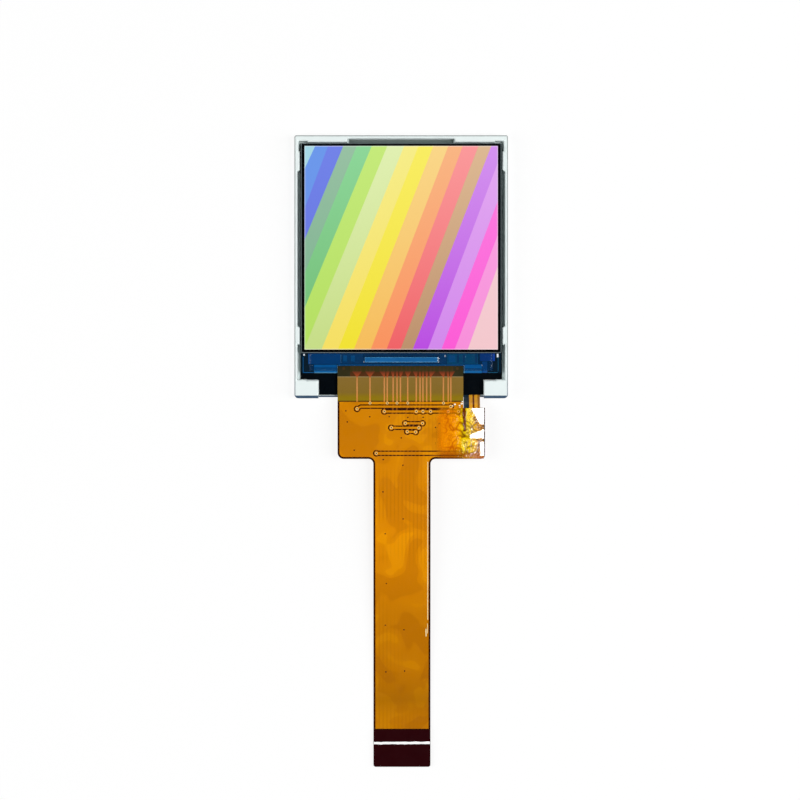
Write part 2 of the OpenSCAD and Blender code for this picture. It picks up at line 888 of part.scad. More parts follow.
module flex_front_copper() {
    color("gold")
    union() {
        translate([0, 0, z_flex + h_front_copper]) linear_extrude(copper_t)
        difference() {
            front_copper_plan();
            for (link = links, i = link[1])
                translate(link[0][i]) circle(d = via_d);
            for (v = ground_vias)
                translate(body_at(v[0], v[1])) circle(d = via_d);
            for (i = strapped)
                translate([bond_x(i), row_1]) circle(d = via_d);
        }
        ribbon(
            concat(sink_path, [[tail_end + contact_l + 1, 0]]), h_front_copper,
            h_front_copper + copper_t, tail_left + copper_inset, tail_right - copper_inset
        );
    }
}

// Front coverlay, with one window over the two solder pads
module flex_front_coverlay() {
    color("darkorange")
    difference() {
        flex_layer(h_front_cover, cover_t, cover_top);
        block(
            leads_x[0] - lead_w / 2, leads_x[1] + lead_w / 2,
            pads_low + pad_margin, pads_top - pad_margin, z_flex, z_flex_front + 1
        );
    }
}

module flex_stiffener() {
    color("maroon")
        translate([0, 0, h_stiffener]) linear_extrude(stiffener_t)
            tail_tip(tail_end + stiffener_l);
}

// A low loaf of solder round the bare end of each lead
module lead_solder() {
    crown = 0.16;
    side_h = cover_t + copper_t;
    color("silver")
    for (x = leads_x)
        difference() {
            translate([x, pads_low + pad_margin, z_flex + h_front_cover])
                rotate([90, 0, 180]) linear_extrude(lead_bare + pad_margin - slip)
                    polygon(concat(
                        [[-lead_w / 2, 0], [lead_w / 2, 0]],
                        [for (a = [0 : 30 : 180]) [lead_w / 2 * cos(a), side_h + crown * sin(a)]]
                    ));
            block(
                x - lead_w / 2, x + lead_w / 2, lead_end, led_tail_end + 1,
                z_flex_front, z_flex_front + copper_t
            );
        }
}

// Amber tape pressed over the solder joints: flat on the body, and a low tent over the leads
module joint_tape() {
    edge = 0.05;
    skirt = 0.12;
    foot = 0.8;
    ridge_x = led_tail_x0 + 0.55;
    ridge_h = 0.36;
    eave_x = led_tail_x1 + 0.05;
    eave_h = 0.2;
    x1 = body_right - edge;
    x0 = x1 - joint_tape_w;
    under = [
        [x0, 0], [led_tail_x0 - foot, 0], [ridge_x, ridge_h], [eave_x, eave_h],
        [x1 - skirt, 0], [x1, 0]
    ];
    last = len(under) - 1;
    color("orange")
    translate([0, arm_top - edge, z_flex_front]) rotate([90, 0, 0])
        linear_extrude(arm_top - body_low - 2 * edge)
            polygon(concat(
                under,
                [for (i = [last : -1 : 0]) [under[i][0], under[i][1] + joint_tape_t]]
            ));
}

backlight_frame();
reflector_film();
light_guide();
diffuser_film();
lower_prism_film();
upper_prism_film();
led_1();
led_2();
led_3();
led_flex_copper();
led_flex_film();
led_flex_coverlay();
rim_tape();
rear_polarizer();
tft_glass();
cell_seal();
liquid_crystal();
cf_glass();
front_polarizer();
driver_chip();
ledge_resin();
bond_film();
flex_rear_coverlay();
flex_rear_copper();
flex_base_film();
flex_front_copper();
flex_front_coverlay();
flex_stiffener();
lead_solder();
joint_tape();
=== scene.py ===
# %% [markdown]
# # A small colour display module
# The object is a liquid crystal cell in a moulded backlight frame, with a long
# flexible printed circuit bonded to the lower edge of its glass. It lies face up
# on a white table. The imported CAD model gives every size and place, and this
# lesson gives each piece the surface that its real material has.

import json
import math

import bmesh
import bpy
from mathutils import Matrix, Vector, noise

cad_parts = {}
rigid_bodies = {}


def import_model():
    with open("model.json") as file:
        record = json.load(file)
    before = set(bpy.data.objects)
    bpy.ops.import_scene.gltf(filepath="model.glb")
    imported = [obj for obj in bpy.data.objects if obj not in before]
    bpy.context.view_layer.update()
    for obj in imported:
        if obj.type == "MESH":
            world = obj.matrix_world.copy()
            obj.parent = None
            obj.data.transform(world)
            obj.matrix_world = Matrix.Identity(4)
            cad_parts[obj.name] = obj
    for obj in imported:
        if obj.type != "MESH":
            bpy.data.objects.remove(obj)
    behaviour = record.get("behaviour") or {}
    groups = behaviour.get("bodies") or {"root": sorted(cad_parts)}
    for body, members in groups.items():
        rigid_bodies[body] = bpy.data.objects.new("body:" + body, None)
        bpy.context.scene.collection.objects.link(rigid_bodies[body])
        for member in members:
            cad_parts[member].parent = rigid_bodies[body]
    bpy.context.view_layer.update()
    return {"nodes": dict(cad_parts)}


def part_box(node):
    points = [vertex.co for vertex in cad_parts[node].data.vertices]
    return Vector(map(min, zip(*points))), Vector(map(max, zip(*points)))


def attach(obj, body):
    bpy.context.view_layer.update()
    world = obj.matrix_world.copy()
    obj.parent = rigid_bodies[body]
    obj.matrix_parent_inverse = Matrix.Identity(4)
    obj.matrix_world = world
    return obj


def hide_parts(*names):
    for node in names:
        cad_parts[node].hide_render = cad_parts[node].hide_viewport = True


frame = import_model()
print("CAD nodes:", len(frame["nodes"]))

# %% [markdown]
# ## Sizes and colours
# Blender works in metres and this object is made of parts of a millimetre, so
# every size below is written in millimetres and turned to metres at the end.
# Colours are written as hex values, as a paint chart gives them, and the shaders
# need linear light, so one function turns one into the other.

# %% Units and colours
MM = 0.001


def linear(code):
    """A hex colour such as '#e9f3f0' as the linear red, green, blue and alpha of a shader."""
    parts = [int(code[i : i + 2], 16) / 255 for i in (1, 3, 5)]
    return (*[p / 12.92 if p <= 0.04045 else ((p + 0.055) / 1.055) ** 2.4 for p in parts], 1.0)


def scale_for(size):
    """Texture scale for features of a real size in millimetres, on Object coordinates in metres."""
    return 1 / (size * MM)


def corners(node):
    """Lowest and highest corner of a CAD node, in millimetres."""
    low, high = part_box(node)
    return low / MM, high / MM


frame_low, frame_high = corners("backlight_frame")
cover_low, cover_high = corners("cf_glass")
crystal_low, crystal_high = corners("liquid_crystal")
chip_low, chip_high = corners("driver_chip")
resin_low, resin_high = corners("ledge_resin")
tab_low, tab_high = corners("flex_base_film")
stiff_low, stiff_high = corners("flex_stiffener")
glass_high, face_high, flex_high, bond_high, copper_high = (
    corners(node)[1] for node in
    ("tft_glass", "front_polarizer", "flex_front_coverlay", "bond_film", "flex_front_copper")
)
print("face of the screen at", round(face_high.z, 3), "mm, flex at", round(flex_high.z, 3), "mm")

# %% [markdown]
# ## Helpers for nodes, materials and meshes
# A material is a small graph. One function adds a node with its settings and
# links, and everything else is written with it. A second one starts a material
# and hands back the pieces that every finish needs.

# %% Node helpers
# Short names for the kinds of node that the finishes use most
MATH, MIX, RANGE = "ShaderNodeMath", "ShaderNodeMix", "ShaderNodeMapRange"
RAMP, NOISE = "ShaderNodeValToRGB", "ShaderNodeTexNoise"
SPLIT, STORED = "ShaderNodeSeparateXYZ", "ShaderNodeAttribute"
MIX_A, MIX_B, MIX_OUT = 6, 7, 2  # a Mix node's colour sockets, which share their names with others


def add_node(tree, kind, inputs=None, **settings):
    """Adds one node, with its properties as settings and a value or a link for each input."""
    made = tree.nodes.new(kind)
    for name, value in settings.items():
        setattr(made, name, value)
    for key, value in (inputs or {}).items():
        if isinstance(value, bpy.types.NodeSocket):
            tree.links.new(value, made.inputs[key])
        else:
            made.inputs[key].default_value = value
    return made


def set_stops(ramp, stops, interpolation="LINEAR"):
    """Gives a ramp its stops, each a place from 0 to 1 and a hex colour, and returns its colour."""
    ramp.color_ramp.interpolation = interpolation
    for at, code in stops[1:-1]:
        ramp.color_ramp.elements.new(at)
    for stop, (at, code) in zip(ramp.color_ramp.elements, stops):
        stop.position, stop.color = at, linear(code)
    return ramp.outputs[0]


def shades_along(tree, value, start, end, stops):
    """A colour that follows a value from start to end through its stops."""
    part = add_node(tree, RANGE, {"Value": value, "From Min": start, "From Max": end})
    return set_stops(add_node(tree, RAMP, {0: part.outputs["Result"]}), stops)


def beyond(tree, value, centre, half):
    """How far a value lies outside a band, given by its centre and half its width."""
    off = add_node(tree, MATH, {0: value, 1: centre}, operation="SUBTRACT")
    away = add_node(tree, MATH, {0: off.outputs[0]}, operation="ABSOLUTE")
    return add_node(tree, MATH, {0: away.outputs[0], 1: half}, operation="SUBTRACT").outputs[0]


def upward_part(tree):
    """The upward share of the surface's direction: 1 facing up, and 0 standing upright."""
    facing = add_node(tree, "ShaderNodeNewGeometry").outputs["Normal"]
    return add_node(tree, SPLIT, {0: facing}).outputs["Z"]


def new_material(name):
    """A new material, its tree, its shader and the Object coordinates that place its patterns."""
    material = bpy.data.materials.new(name)
    material.use_nodes = True
    tree = material.node_tree
    place = add_node(tree, "ShaderNodeTexCoord").outputs["Object"]
    return material, tree, tree.nodes["Principled BSDF"], place


print("node helpers ready; a new Mix node takes its colours at sockets", MIX_A, "and", MIX_B)

# %% Finish of a surface
NOISE_LOW, NOISE_HIGH = 0.3, 0.7  # nearly all values of a noise texture lie between these


def break_gloss(tree, shader, noise_node, least, most):
    """Lets a noise texture vary the roughness between two limits."""
    gloss = add_node(
        tree, RANGE,
        {
            "Value": noise_node.outputs["Fac"], "From Min": NOISE_LOW, "From Max": NOISE_HIGH,
            "To Min": least, "To Max": most,
        },
    )
    tree.links.new(gloss.outputs["Result"], shader.inputs["Roughness"])


def finish(name, light, dark, blotch, grain, rough, relief, colour=None, **sockets):
    """A surface whose colour drifts between two shades and whose grain breaks up its gloss.

    blotch and grain are sizes in millimetres, rough is the least and the most roughness, relief
    is the height of the grain in millimetres, and colour is a function that makes a richer
    colour from the tree, the place and its axes, and returns how far it covers, and itself.
    sockets are other inputs of the shader. Its IOR is 1.5, like most plastics, unless given."""
    material, tree, shader, place = new_material(name)
    drift = add_node(tree, NOISE, {"Vector": place, "Scale": scale_for(blotch), "Detail": 3})
    shade = add_node(
        tree, MIX,
        {0: drift.outputs["Fac"], MIX_A: linear(dark), MIX_B: linear(light)}, data_type="RGBA",
    ).outputs[MIX_OUT]
    if colour:
        axes = add_node(tree, SPLIT, {0: place}).outputs
        cover, richer = colour(tree, place, axes)
        shade = add_node(
            tree, MIX, {0: cover, MIX_A: shade, MIX_B: richer}, data_type="RGBA"
        ).outputs[MIX_OUT]
    tree.links.new(shade, shader.inputs["Base Color"])
    fine = add_node(tree, NOISE, {"Vector": place, "Scale": scale_for(grain), "Detail": 2})
    break_gloss(tree, shader, fine, *rough)
    bump = add_node(
        tree, "ShaderNodeBump",
        {"Height": fine.outputs["Fac"], "Distance": relief * MM, "Strength": 1.0},
    )
    tree.links.new(bump.outputs["Normal"], shader.inputs["Normal"])
    for key, value in sockets.items():
        shader.inputs[key.replace("_", " ")].default_value = value
    return material


def dress(material, *nodes):
    """Gives CAD nodes their material."""
    for node in nodes:
        for holder in frame["nodes"][node].material_slots:
            holder.material = material
    print(material.name, "on", ", ".join(nodes))


print("a finish has two shades, two pattern sizes, a range of roughness and a relief")

# %% Mesh helpers
def merged(node):
    """A CAD node's mesh as a bmesh, with the corners of its loose triangles joined."""
    mesh = bmesh.new()
    mesh.from_mesh(frame["nodes"][node].data)
    bmesh.ops.remove_doubles(mesh, verts=mesh.verts, dist=1e-7)
    return mesh


def piece(name, mesh, material, slot, *stands_for, smooth=False):
    """Turns a bmesh into a piece on the body, which can stand for CAD nodes."""
    data = bpy.data.meshes.new(name)
    mesh.to_mesh(data)
    mesh.free()
    for face in data.polygons:
        face.use_smooth = smooth
    data.materials.append(material)
    made = bpy.data.objects.new(name, data)
    bpy.context.scene.collection.objects.link(made)
    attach(made, "root")
    if stands_for:
        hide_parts(*stands_for)
    print(name, len(data.polygons), "faces")


trial = merged("cf_glass")
print("corners of the front glass:", len(trial.verts))
trial.free()

# %% Sheets on a grid
def sheet_mesh(xs, ys, top, bottom, inside=lambda x, y: True, mesh=None):
    """A closed sheet on a grid, in millimetres, between two height functions.

    It goes into a mesh of its own, or is added to the one that is given."""
    mesh = mesh or bmesh.new()
    upper = [[mesh.verts.new(Vector((x, y, top(x, y))) * MM) for y in ys] for x in xs]
    lower = [[mesh.verts.new(Vector((x, y, bottom(x, y))) * MM) for y in ys] for x in xs]
    for i in range(len(xs) - 1):
        for k in range(len(ys) - 1):
            if inside((xs[i] + xs[i + 1]) / 2, (ys[k] + ys[k + 1]) / 2):
                for grid, turn in ((upper, 1), (lower, -1)):
                    ring = [grid[i][k], grid[i + 1][k], grid[i + 1][k + 1], grid[i][k + 1]]
                    mesh.faces.new(ring[::turn])
    partner = {a: b for row, other in zip(upper, lower) for a, b in zip(row, other)}
    for edge in [e for e in mesh.edges if len(e.link_faces) == 1 and e.verts[0] in partner]:
        face = edge.link_faces[0]
        start = next(loop for loop in face.loops if loop.edge == edge)
        a, b = start.vert, start.link_loop_next.vert
        mesh.faces.new([b, a, partner[a], partner[b]])
    bmesh.ops.delete(mesh, geom=[v for v in mesh.verts if not v.link_faces], context="VERTS")
    return mesh


def steps(start, end, step):
    """Evenly spaced places from start to end, about a step apart."""
    count = max(1, round(abs(end - start) / step))
    return [start + (end - start) * i / count for i in range(count + 1)]


def ease(t):
    """A smooth rise from 0 to 1 as t goes from 0 to 1."""
    t = min(1.0, max(0.0, t))
    return t * t * (3 - 2 * t)


print("eased quarters:", [round(ease(t), 3) for t in steps(0, 1, 0.25)])

# %% [markdown]
# ## Table and light
# The module lies on a white table that ends nowhere, so nothing competes with it.
# The table shows as white to the eye and to gloss, and still takes part of the
# lamps' light, so that the object keeps its soft shadow. Two large soft lamps
# stand at the sides. A smaller, brighter one stands near the eye on the right: a
# flat face never mirrors it, and a wrinkled film does, in white glints.

# %% White table
TABLE_HALF = 2.0  # in metres, like the next value
TABLE_DROP = 0.0001
SHOWN_SHARE = 0.85  # how much of the white that the eye and gloss get is the table's own

table_mesh = bmesh.new()
bmesh.ops.create_grid(table_mesh, x_segments=1, y_segments=1, size=TABLE_HALF)
bmesh.ops.translate(table_mesh, verts=table_mesh.verts, vec=(0, 0, -TABLE_DROP))
table_data = bpy.data.meshes.new("table")
table_mesh.to_mesh(table_data)
table_mesh.free()
table = bpy.data.objects.new("table", table_data)
bpy.context.scene.collection.objects.link(table)

# Matt white paint: plain white to the eye, with the soft shadow still on it
table_paint, tree, shader, place = new_material("matt_painted_table")
shader.inputs["Base Color"].default_value = linear("#ffffff")
shader.inputs["Roughness"].default_value = 0.9
shader.inputs["Specular IOR Level"].default_value = 0.0
rays = add_node(tree, "ShaderNodeLightPath")
seen = 0.0
for ray in ("Is Camera Ray", "Is Glossy Ray", "Is Transmission Ray"):
    seen = add_node(tree, MATH, {0: rays.outputs[ray], 1: seen}, operation="MAXIMUM").outputs[0]
share = add_node(tree, MATH, {0: seen, 1: SHOWN_SHARE}, operation="MULTIPLY")
white = add_node(tree, "ShaderNodeEmission", {"Color": linear("#ffffff"), "Strength": 1.0})
both = add_node(
    tree, "ShaderNodeMixShader", {0: share.outputs[0], 1: shader.outputs[0], 2: white.outputs[0]},
)
# From below the table is clear, so that the object's underside can be looked at
below = add_node(tree, "ShaderNodeNewGeometry").outputs["Backfacing"]
clear = add_node(tree, "ShaderNodeBsdfTransparent")
open_below = add_node(
    tree, "ShaderNodeMixShader", {0: below, 1: both.outputs[0], 2: clear.outputs[0]}
)
tree.links.new(open_below.outputs[0], tree.nodes["Material Output"].inputs["Surface"])
table_data.materials.append(table_paint)
print("table", 2 * TABLE_HALF, "m wide, its own white", SHOWN_SHARE)

# %% World and lamps
# The room is pale at the horizon and dim overhead, so that black stays black in gloss.
HORIZON, ZENITH = 1.0, 0.02
PALE_BELOW, DIM_ABOVE = 0.15, 0.5  # heights of a direction, from 0 level to 1 straight up

world = bpy.data.worlds.new("studio_room")
world.use_nodes = True
bpy.context.scene.world = world
tree = world.node_tree
way = add_node(tree, "ShaderNodeTexCoord").outputs["Generated"]
height = add_node(tree, SPLIT, {0: way}).outputs["Z"]
level = add_node(
    tree, RANGE,
    {
        "Value": height, "From Min": PALE_BELOW, "From Max": DIM_ABOVE,
        "To Min": HORIZON, "To Max": ZENITH,
    },
)
tree.nodes["Background"].inputs["Color"].default_value = linear("#ffffff")
tree.links.new(level.outputs["Result"], tree.nodes["Background"].inputs["Strength"])

MIDDLE = Vector((0, -17.5, 0)) * MM


def lamp(name, turn, lean, away, size, power):
    """A square area lamp that faces the module, away and size in metres, power in watts.

    turn is its compass angle and lean its angle from straight up, in degrees."""
    light = bpy.data.lights.new(name, "AREA")
    light.shape = "SQUARE"
    light.size = size
    light.energy = power
    made = bpy.data.objects.new(name, light)
    turn, lean = math.radians(turn), math.radians(lean)
    out = Vector((math.sin(lean) * math.cos(turn), math.sin(lean) * math.sin(turn), math.cos(lean)))
    made.location = MIDDLE + out * away
    made.rotation_euler = out.to_track_quat("Z", "Y").to_euler()
    bpy.context.scene.collection.objects.link(made)


lamp("soft_left", 185, 48, 0.9, 0.6, 4.35)
lamp("soft_right", -5, 48, 0.9, 0.6, 4.35)
lamp("glint_right", 0, 23, 0.8, 0.12, 1.6)

# %% Camera
# The eye looks straight down from 0.4 m, and takes in 105 mm of the table.
VIEW_WIDTH = 105
LENS, SENSOR = 135, 36
EYE_X, EYE_Y = -0.157, -17.474
SHARP_Z = 1.8

camera = bpy.data.cameras.new("eye")
camera.lens = LENS
camera.sensor_width = SENSOR
camera.clip_start = 0.01
camera.clip_end = 20
eye = bpy.data.objects.new("eye", camera)
eye.location = Vector((EYE_X, EYE_Y, SHARP_Z + VIEW_WIDTH * LENS / SENSOR)) * MM
bpy.context.scene.collection.objects.link(eye)
bpy.context.scene.camera = eye
bpy.context.scene.view_settings.view_transform = "Standard"
print("eye at", [round(v, 4) for v in eye.location])

# %% [markdown]
# ## Moulded frame
# The frame is injection-moulded white polycarbonate. The mould's corners are
# never quite sharp: a small round runs along every top edge. A thin grey line of
# painted shade lies on that round, and turns slate blue along the lower end. A
# rounding could be a modifier on the whole part, but its tiny marks and grooves
# would limit its width, so only the edges of the top faces are picked and rounded
# in mesh code, on a merged copy of the CAD part.

# %% Colour of the moulding and its painted edge shade
RIM_LIP = 0.2  # how far inside the frame's lower end the rail and the feet's faces begin
GREY_ENDS_Y = -13  # the painted shade on the rim is grey above here and turns slate blue towards the lower end
FOOT_X, RAIL_SHIFT = 10.9, 0.02  # where the feet start, and how much lower the rail's band starts
END_BAND = (0.42, 0.3)  # where the blue along the lower edge starts and is full, from the edge
FACES_UP = 0.3  # least upward share of a face that the blue band marks


def painted_edge_shade(tree, place, axes):
    """Paints shade on the rounded outer edge: grey at the sides and slate blue along the lower end.
    """
    edge = add_node(tree, STORED, attribute_name="edge").outputs["Fac"]
    grey = shades_along(
        tree, axes["Y"], GREY_ENDS_Y * MM, (frame_low.y + RIM_LIP) * MM,
        [(0.0, "#66716e"), (1.0, "#16405f")],
    )
    past_rail = beyond(tree, axes["X"], 0.0, FOOT_X * MM)
    on_rail = add_node(tree, MATH, {0: past_rail, 1: 0.0}, operation="LESS_THAN")
    end_y = add_node(
        tree, MATH,
        {0: on_rail.outputs[0], 1: RAIL_SHIFT * MM, 2: frame_low.y * MM}, operation="MULTIPLY_ADD",
    )
    from_end = add_node(tree, MATH, {0: axes["Y"], 1: end_y.outputs[0]}, operation="SUBTRACT")
    start, full = END_BAND
    band = add_node(
        tree, RANGE, {"Value": from_end.outputs[0], "From Min": start * MM, "From Max": full * MM},
    )
    upward = add_node(tree, MATH, {0: upward_part(tree), 1: FACES_UP}, operation="GREATER_THAN")
    top_band = add_node(
        tree, MATH, {0: band.outputs["Result"], 1: upward.outputs[0]}, operation="MULTIPLY",
    )
    dark = add_node(tree, MATH, {0: edge, 1: top_band.outputs[0]}, operation="MAXIMUM")
    return dark.outputs[0], grey


# Moulded polycarbonate: bright, slightly cool white, satin from the mould's fine spark texture,
# with painted shade on its outer edge
frame_plastic = finish(
    "moulded_white_polycarbonate", "#eef8f7", "#e6f1f0", 3.0, 0.12, (0.38, 0.5), 0.004,
    colour=painted_edge_shade, IOR=1.58,
)
print(frame_plastic.name, "made")

# %% Rounded frame
EDGE_ROUND = 0.2
ROUND_STEPS = 3
SIDE_GAIN, FOOT_GAIN = 4, 8  # how soon the painted grey shade starts on the way round the edge


def rim_edges(mesh, z):
    """Sharp edges of a mesh that lie at one height."""
    rim = []
    for edge in mesh.edges:
        level = all(abs(v.co.z / MM - z) < 0.001 for v in edge.verts)
        if level and len(edge.link_faces) == 2 and edge.calc_face_angle() > math.radians(60):
            rim.append(edge)
    return rim


def rounded_copy(node, z, width, segments=1):
    """A CAD node's mesh with its sharp edges at one height rounded, in millimetres."""
    mesh = merged(node)
    bmesh.ops.dissolve_limit(
        mesh, angle_limit=math.radians(0.5), verts=mesh.verts, edges=mesh.edges
    )
    bmesh.ops.bevel(
        mesh, geom=rim_edges(mesh, z), offset=width * MM, segments=segments,
        profile=0.5, affect="EDGES", clamp_overlap=False,
    )
    return mesh


def on_outline(face):
    """True for a sloping face at the frame's outer edge."""
    middle = face.calc_center_median() / MM
    near_side = abs(middle.x) > frame_high.x - EDGE_ROUND
    near_top = middle.y > frame_high.y - EDGE_ROUND
    near_low = middle.y < frame_low.y + RIM_LIP + EDGE_ROUND
    return 0.05 < face.normal.z < 0.999 and (near_side or near_top or near_low)


mesh = rounded_copy("backlight_frame", frame_high.z, EDGE_ROUND, ROUND_STEPS)
edge_shade_layer = mesh.loops.layers.float.new("edge")
mesh.normal_update()
# The rounded faces of the outer edge take painted shade, more of it further round the edge
for face in filter(on_outline, mesh.faces):
    gain = FOOT_GAIN if face.normal.y < -0.2 else SIDE_GAIN
    for loop in face.loops:
        drop = frame_high.z - loop.vert.co.z / MM
        loop[edge_shade_layer] = min(1.0, gain * drop / EDGE_ROUND)
piece("frame_moulding", mesh, frame_plastic, "backlight_frame", "backlight_frame")

# %% [markdown]
# ## Screen
# The front polarizer is a hard-coated plastic film, smooth and glossy. The
# picture under it is lit from behind, so part of its colour is light of its own
# and part is what the film sends back from the room. The picture is a fan of
# eighteen slanted stripes. Each edge between two stripes is a straight line,
# given by where it crosses the top and the bottom. A point's stripe is the number
# of lines to its left, and two colour ramps turn that number into a colour, one
# for the top and one for the bottom. Outside the picture the black border shows.

# %% Lines and shades of the picture
# Where each line crosses the top and the bottom of the picture, in millimetres
LINES = [
    (-11.27, -23.57), (-9.59, -19.57), (-7.59, -18.6), (-5.84, -16.77), (-3.86, -14.93),
    (-1.82, -12.74), (0.38, -10.44), (2.28, -8.28), (4.22, -6.21), (6.18, -4.0), (8.08, -1.93),
    (10.13, -0.1), (11.81, 1.5), (13.49, 3.47), (15.39, 5.27), (17.05, 7.0), (18.34, 8.72),
]
# Each stripe's colour at the top and at the bottom
SHADES = [
    ("#aadbe8", "#a6d6e4"), ("#6e9aee", "#6993e9"), ("#7485eb", "#6272e1"),
    ("#9ac3a5", "#78af8d"), ("#8fd99b", "#71bc74"), ("#c8ed7c", "#b6e162"),
    ("#e4f3b4", "#c8df88"), ("#faf08a", "#f8e164"), ("#fcf064", "#f4e434"),
    ("#fdd98a", "#f8bf5c"), ("#fcb885", "#fc9460"), ("#fe9b9d", "#f26468"),
    ("#e0bb95", "#be926e"), ("#d694f2", "#bc4ee4"), ("#e6abf4", "#d48aee"),
    ("#ff84e4", "#ff5cd8"), ("#fcace6", "#fa90dc"), ("#f8d4db", "#f6cacf"),
]
assert len(SHADES) == len(LINES) + 1
print("stripes:", len(SHADES))

# %% Colour of the stripes
BLACK_LAP = 0.05  # how far the black border laps over the crystal
PICTURE_TOP = crystal_high.y - BLACK_LAP
PICTURE_LOW = crystal_low.y + BLACK_LAP
PICTURE_HALF = crystal_high.x - BLACK_LAP

picture_film, tree, shader, place = new_material("hard_coated_polarizer_film")
in_mm = add_node(tree, "ShaderNodeVectorMath", {0: place, 3: 1 / MM}, operation="SCALE")
axes = add_node(tree, SPLIT, {0: in_mm.outputs[0]})
down = add_node(tree, MATH, {0: PICTURE_TOP, 1: axes.outputs["Y"]}, operation="SUBTRACT")
fade = add_node(
    tree, RANGE, {"Value": down.outputs[0], "From Min": 0.0, "From Max": PICTURE_TOP - PICTURE_LOW},
)
number = 0.5  # the middle of the first stripe's place in the ramps
for top_x, low_x in LINES:
    line_x = add_node(
        tree, MATH, {0: fade.outputs["Result"], 1: low_x - top_x, 2: top_x},
        operation="MULTIPLY_ADD",
    )
    right_of = add_node(
        tree, MATH, {0: axes.outputs["X"], 1: line_x.outputs[0]}, operation="GREATER_THAN",
    )
    number = add_node(tree, MATH, {0: right_of.outputs[0], 1: number}, operation="ADD").outputs[0]
place_in_ramp = add_node(
    tree, MATH, {0: number, 1: 1 / len(SHADES)}, operation="MULTIPLY"
).outputs[0]
ramps = []
for which in (0, 1):
    ramp = add_node(tree, RAMP, {0: place_in_ramp})
    stops = [(i / len(SHADES), pair[which]) for i, pair in enumerate(SHADES)]
    ramps.append(set_stops(ramp, stops, "CONSTANT"))
striped = add_node(
    tree, MIX, {0: fade.outputs["Result"], MIX_A: ramps[0], MIX_B: ramps[1]}, data_type="RGBA",
)
print("picture", round(2 * PICTURE_HALF, 2), "x", round(PICTURE_TOP - PICTURE_LOW, 2), "mm")

# %% Border of the picture
EDGE_GLOW_W, EDGE_GLOW = 0.1, 0.35  # the guide's light leaks a little at the picture's edge

# How far a point lies outside the picture, in millimetres
past_side = beyond(tree, axes.outputs["X"], 0.0, PICTURE_HALF)
past_end = beyond(
    tree, axes.outputs["Y"], (PICTURE_TOP + PICTURE_LOW) / 2, (PICTURE_TOP - PICTURE_LOW) / 2
)
outside = add_node(tree, MATH, {0: past_side, 1: past_end}, operation="MAXIMUM")
in_picture = add_node(tree, MATH, {0: outside.outputs[0], 1: 0.0}, operation="LESS_THAN")
at_edge = add_node(tree, MATH, {0: outside.outputs[0], 1: -EDGE_GLOW_W}, operation="GREATER_THAN")
glow = add_node(tree, MATH, {0: at_edge.outputs[0], 1: EDGE_GLOW}, operation="MULTIPLY")
glowing = add_node(
    tree, MIX,
    {0: glow.outputs[0], MIX_A: striped.outputs[MIX_OUT], MIX_B: linear("#ffffff")},
    data_type="RGBA",
)
lit = add_node(
    tree, MIX,
    {0: in_picture.outputs[0], MIX_A: linear("#000000"), MIX_B: glowing.outputs[MIX_OUT]},
    data_type="RGBA",
)
print("edge glow", EDGE_GLOW_W, "mm wide")

# %% Polarizer over the picture
# Hard-coated acetate film: deep black beside the picture, and a glossy, barely hazy face
OWN_LIGHT = 0.4
sent_back = add_node(
    tree, MIX,
    {0: 1 - OWN_LIGHT, MIX_A: linear("#060709"), MIX_B: lit.outputs[MIX_OUT]}, data_type="RGBA",
)
tree.links.new(sent_back.outputs[MIX_OUT], shader.inputs["Base Color"])
tree.links.new(lit.outputs[MIX_OUT], shader.inputs["Emission Color"])
shader.inputs["Emission Strength"].default_value = OWN_LIGHT
shader.inputs["IOR"].default_value = 1.49
haze = add_node(tree, NOISE, {"Vector": place, "Scale": scale_for(4.0), "Detail": 4})
break_gloss(tree, shader, haze, 0.06, 0.11)
dress(picture_film, "front_polarizer")

# %% [markdown]
# ## Glass sheets
# The two sheets are thin soda-lime glass, scribed and snapped. Over the dark
# layers their faces look almost black, and their snapped edges are pale
# grey-green where light gets in. See-through glass would render slowly and show
# only that black, so the faces carry the dark colour and the edges the pale one,
# told apart by which way each face points.

# %% Glass
SNAP = 0.09  # width of the bright line of painted light along a snapped edge
FLAT_UP, STEEP_UP = 0.95, 0.3  # upward share of a face's direction: flat, and steep as an edge


def painted_edge_light(tree, place, axes):
    """Painted light on a snapped glass edge: a pale colour where the surface stands upright."""
    flatness = add_node(tree, MATH, {0: upward_part(tree)}, operation="ABSOLUTE")
    edge = add_node(
        tree, RANGE, {"Value": flatness.outputs[0], "From Min": FLAT_UP, "From Max": STEEP_UP},
    )
    return edge.outputs["Result"], linear("#8d9c9e")


# Snapped soda-lime glass: near black over the dark layers, mirror smooth, with painted light on its
# edges
cell_glass = finish(
    "snapped_soda_lime_glass", "#101b24", "#0a1118", 2.0, 0.5, (0.04, 0.08), 0.0005,
    colour=painted_edge_light, IOR=1.52,
)
# The same glass with its array of conductors: a breath of blue in the dark, with the same painted
# edge light
ledge_glass = finish(
    "array_glass_with_conductors", "#0d2233", "#081722", 1.2, 0.5, (0.05, 0.1), 0.0005,
    colour=painted_edge_light, IOR=1.52,
)
dress(ledge_glass, "tft_glass")
mesh = rounded_copy("cf_glass", cover_high.z, SNAP)
piece("cover_glass", mesh, cell_glass, "cf_glass", "cf_glass")

# %% [markdown]
# ## Driver chip and resin
# The driver chip is a bare sliver of polished silicon, pressed face down on the
# glass. A blue resin seals it. The resin was poured, so it climbs the cover glass
# and the chip, rounds off at its free ends, and never lies quite level: that is
# what breaks its reflections into streaks. A height formula on a fine grid gives
# just that. Thin metal pads on the glass show through it as paler blue.

# %% Conductors on the ledge
CONDUCTOR_T = 0.004
TONES = [
    "#051a2c", "#093a64", "#00488e", "#005c7c", "#0a3a9e", "#0b64a4", "#047ed4", "#6fb0d0",
    "#f6faff",
]
PAINTED_SHADOW, NAVY, BLUE, TEAL, ROYAL, MID, BRIGHT, PALE, PAINTED_GLINT = range(len(TONES))
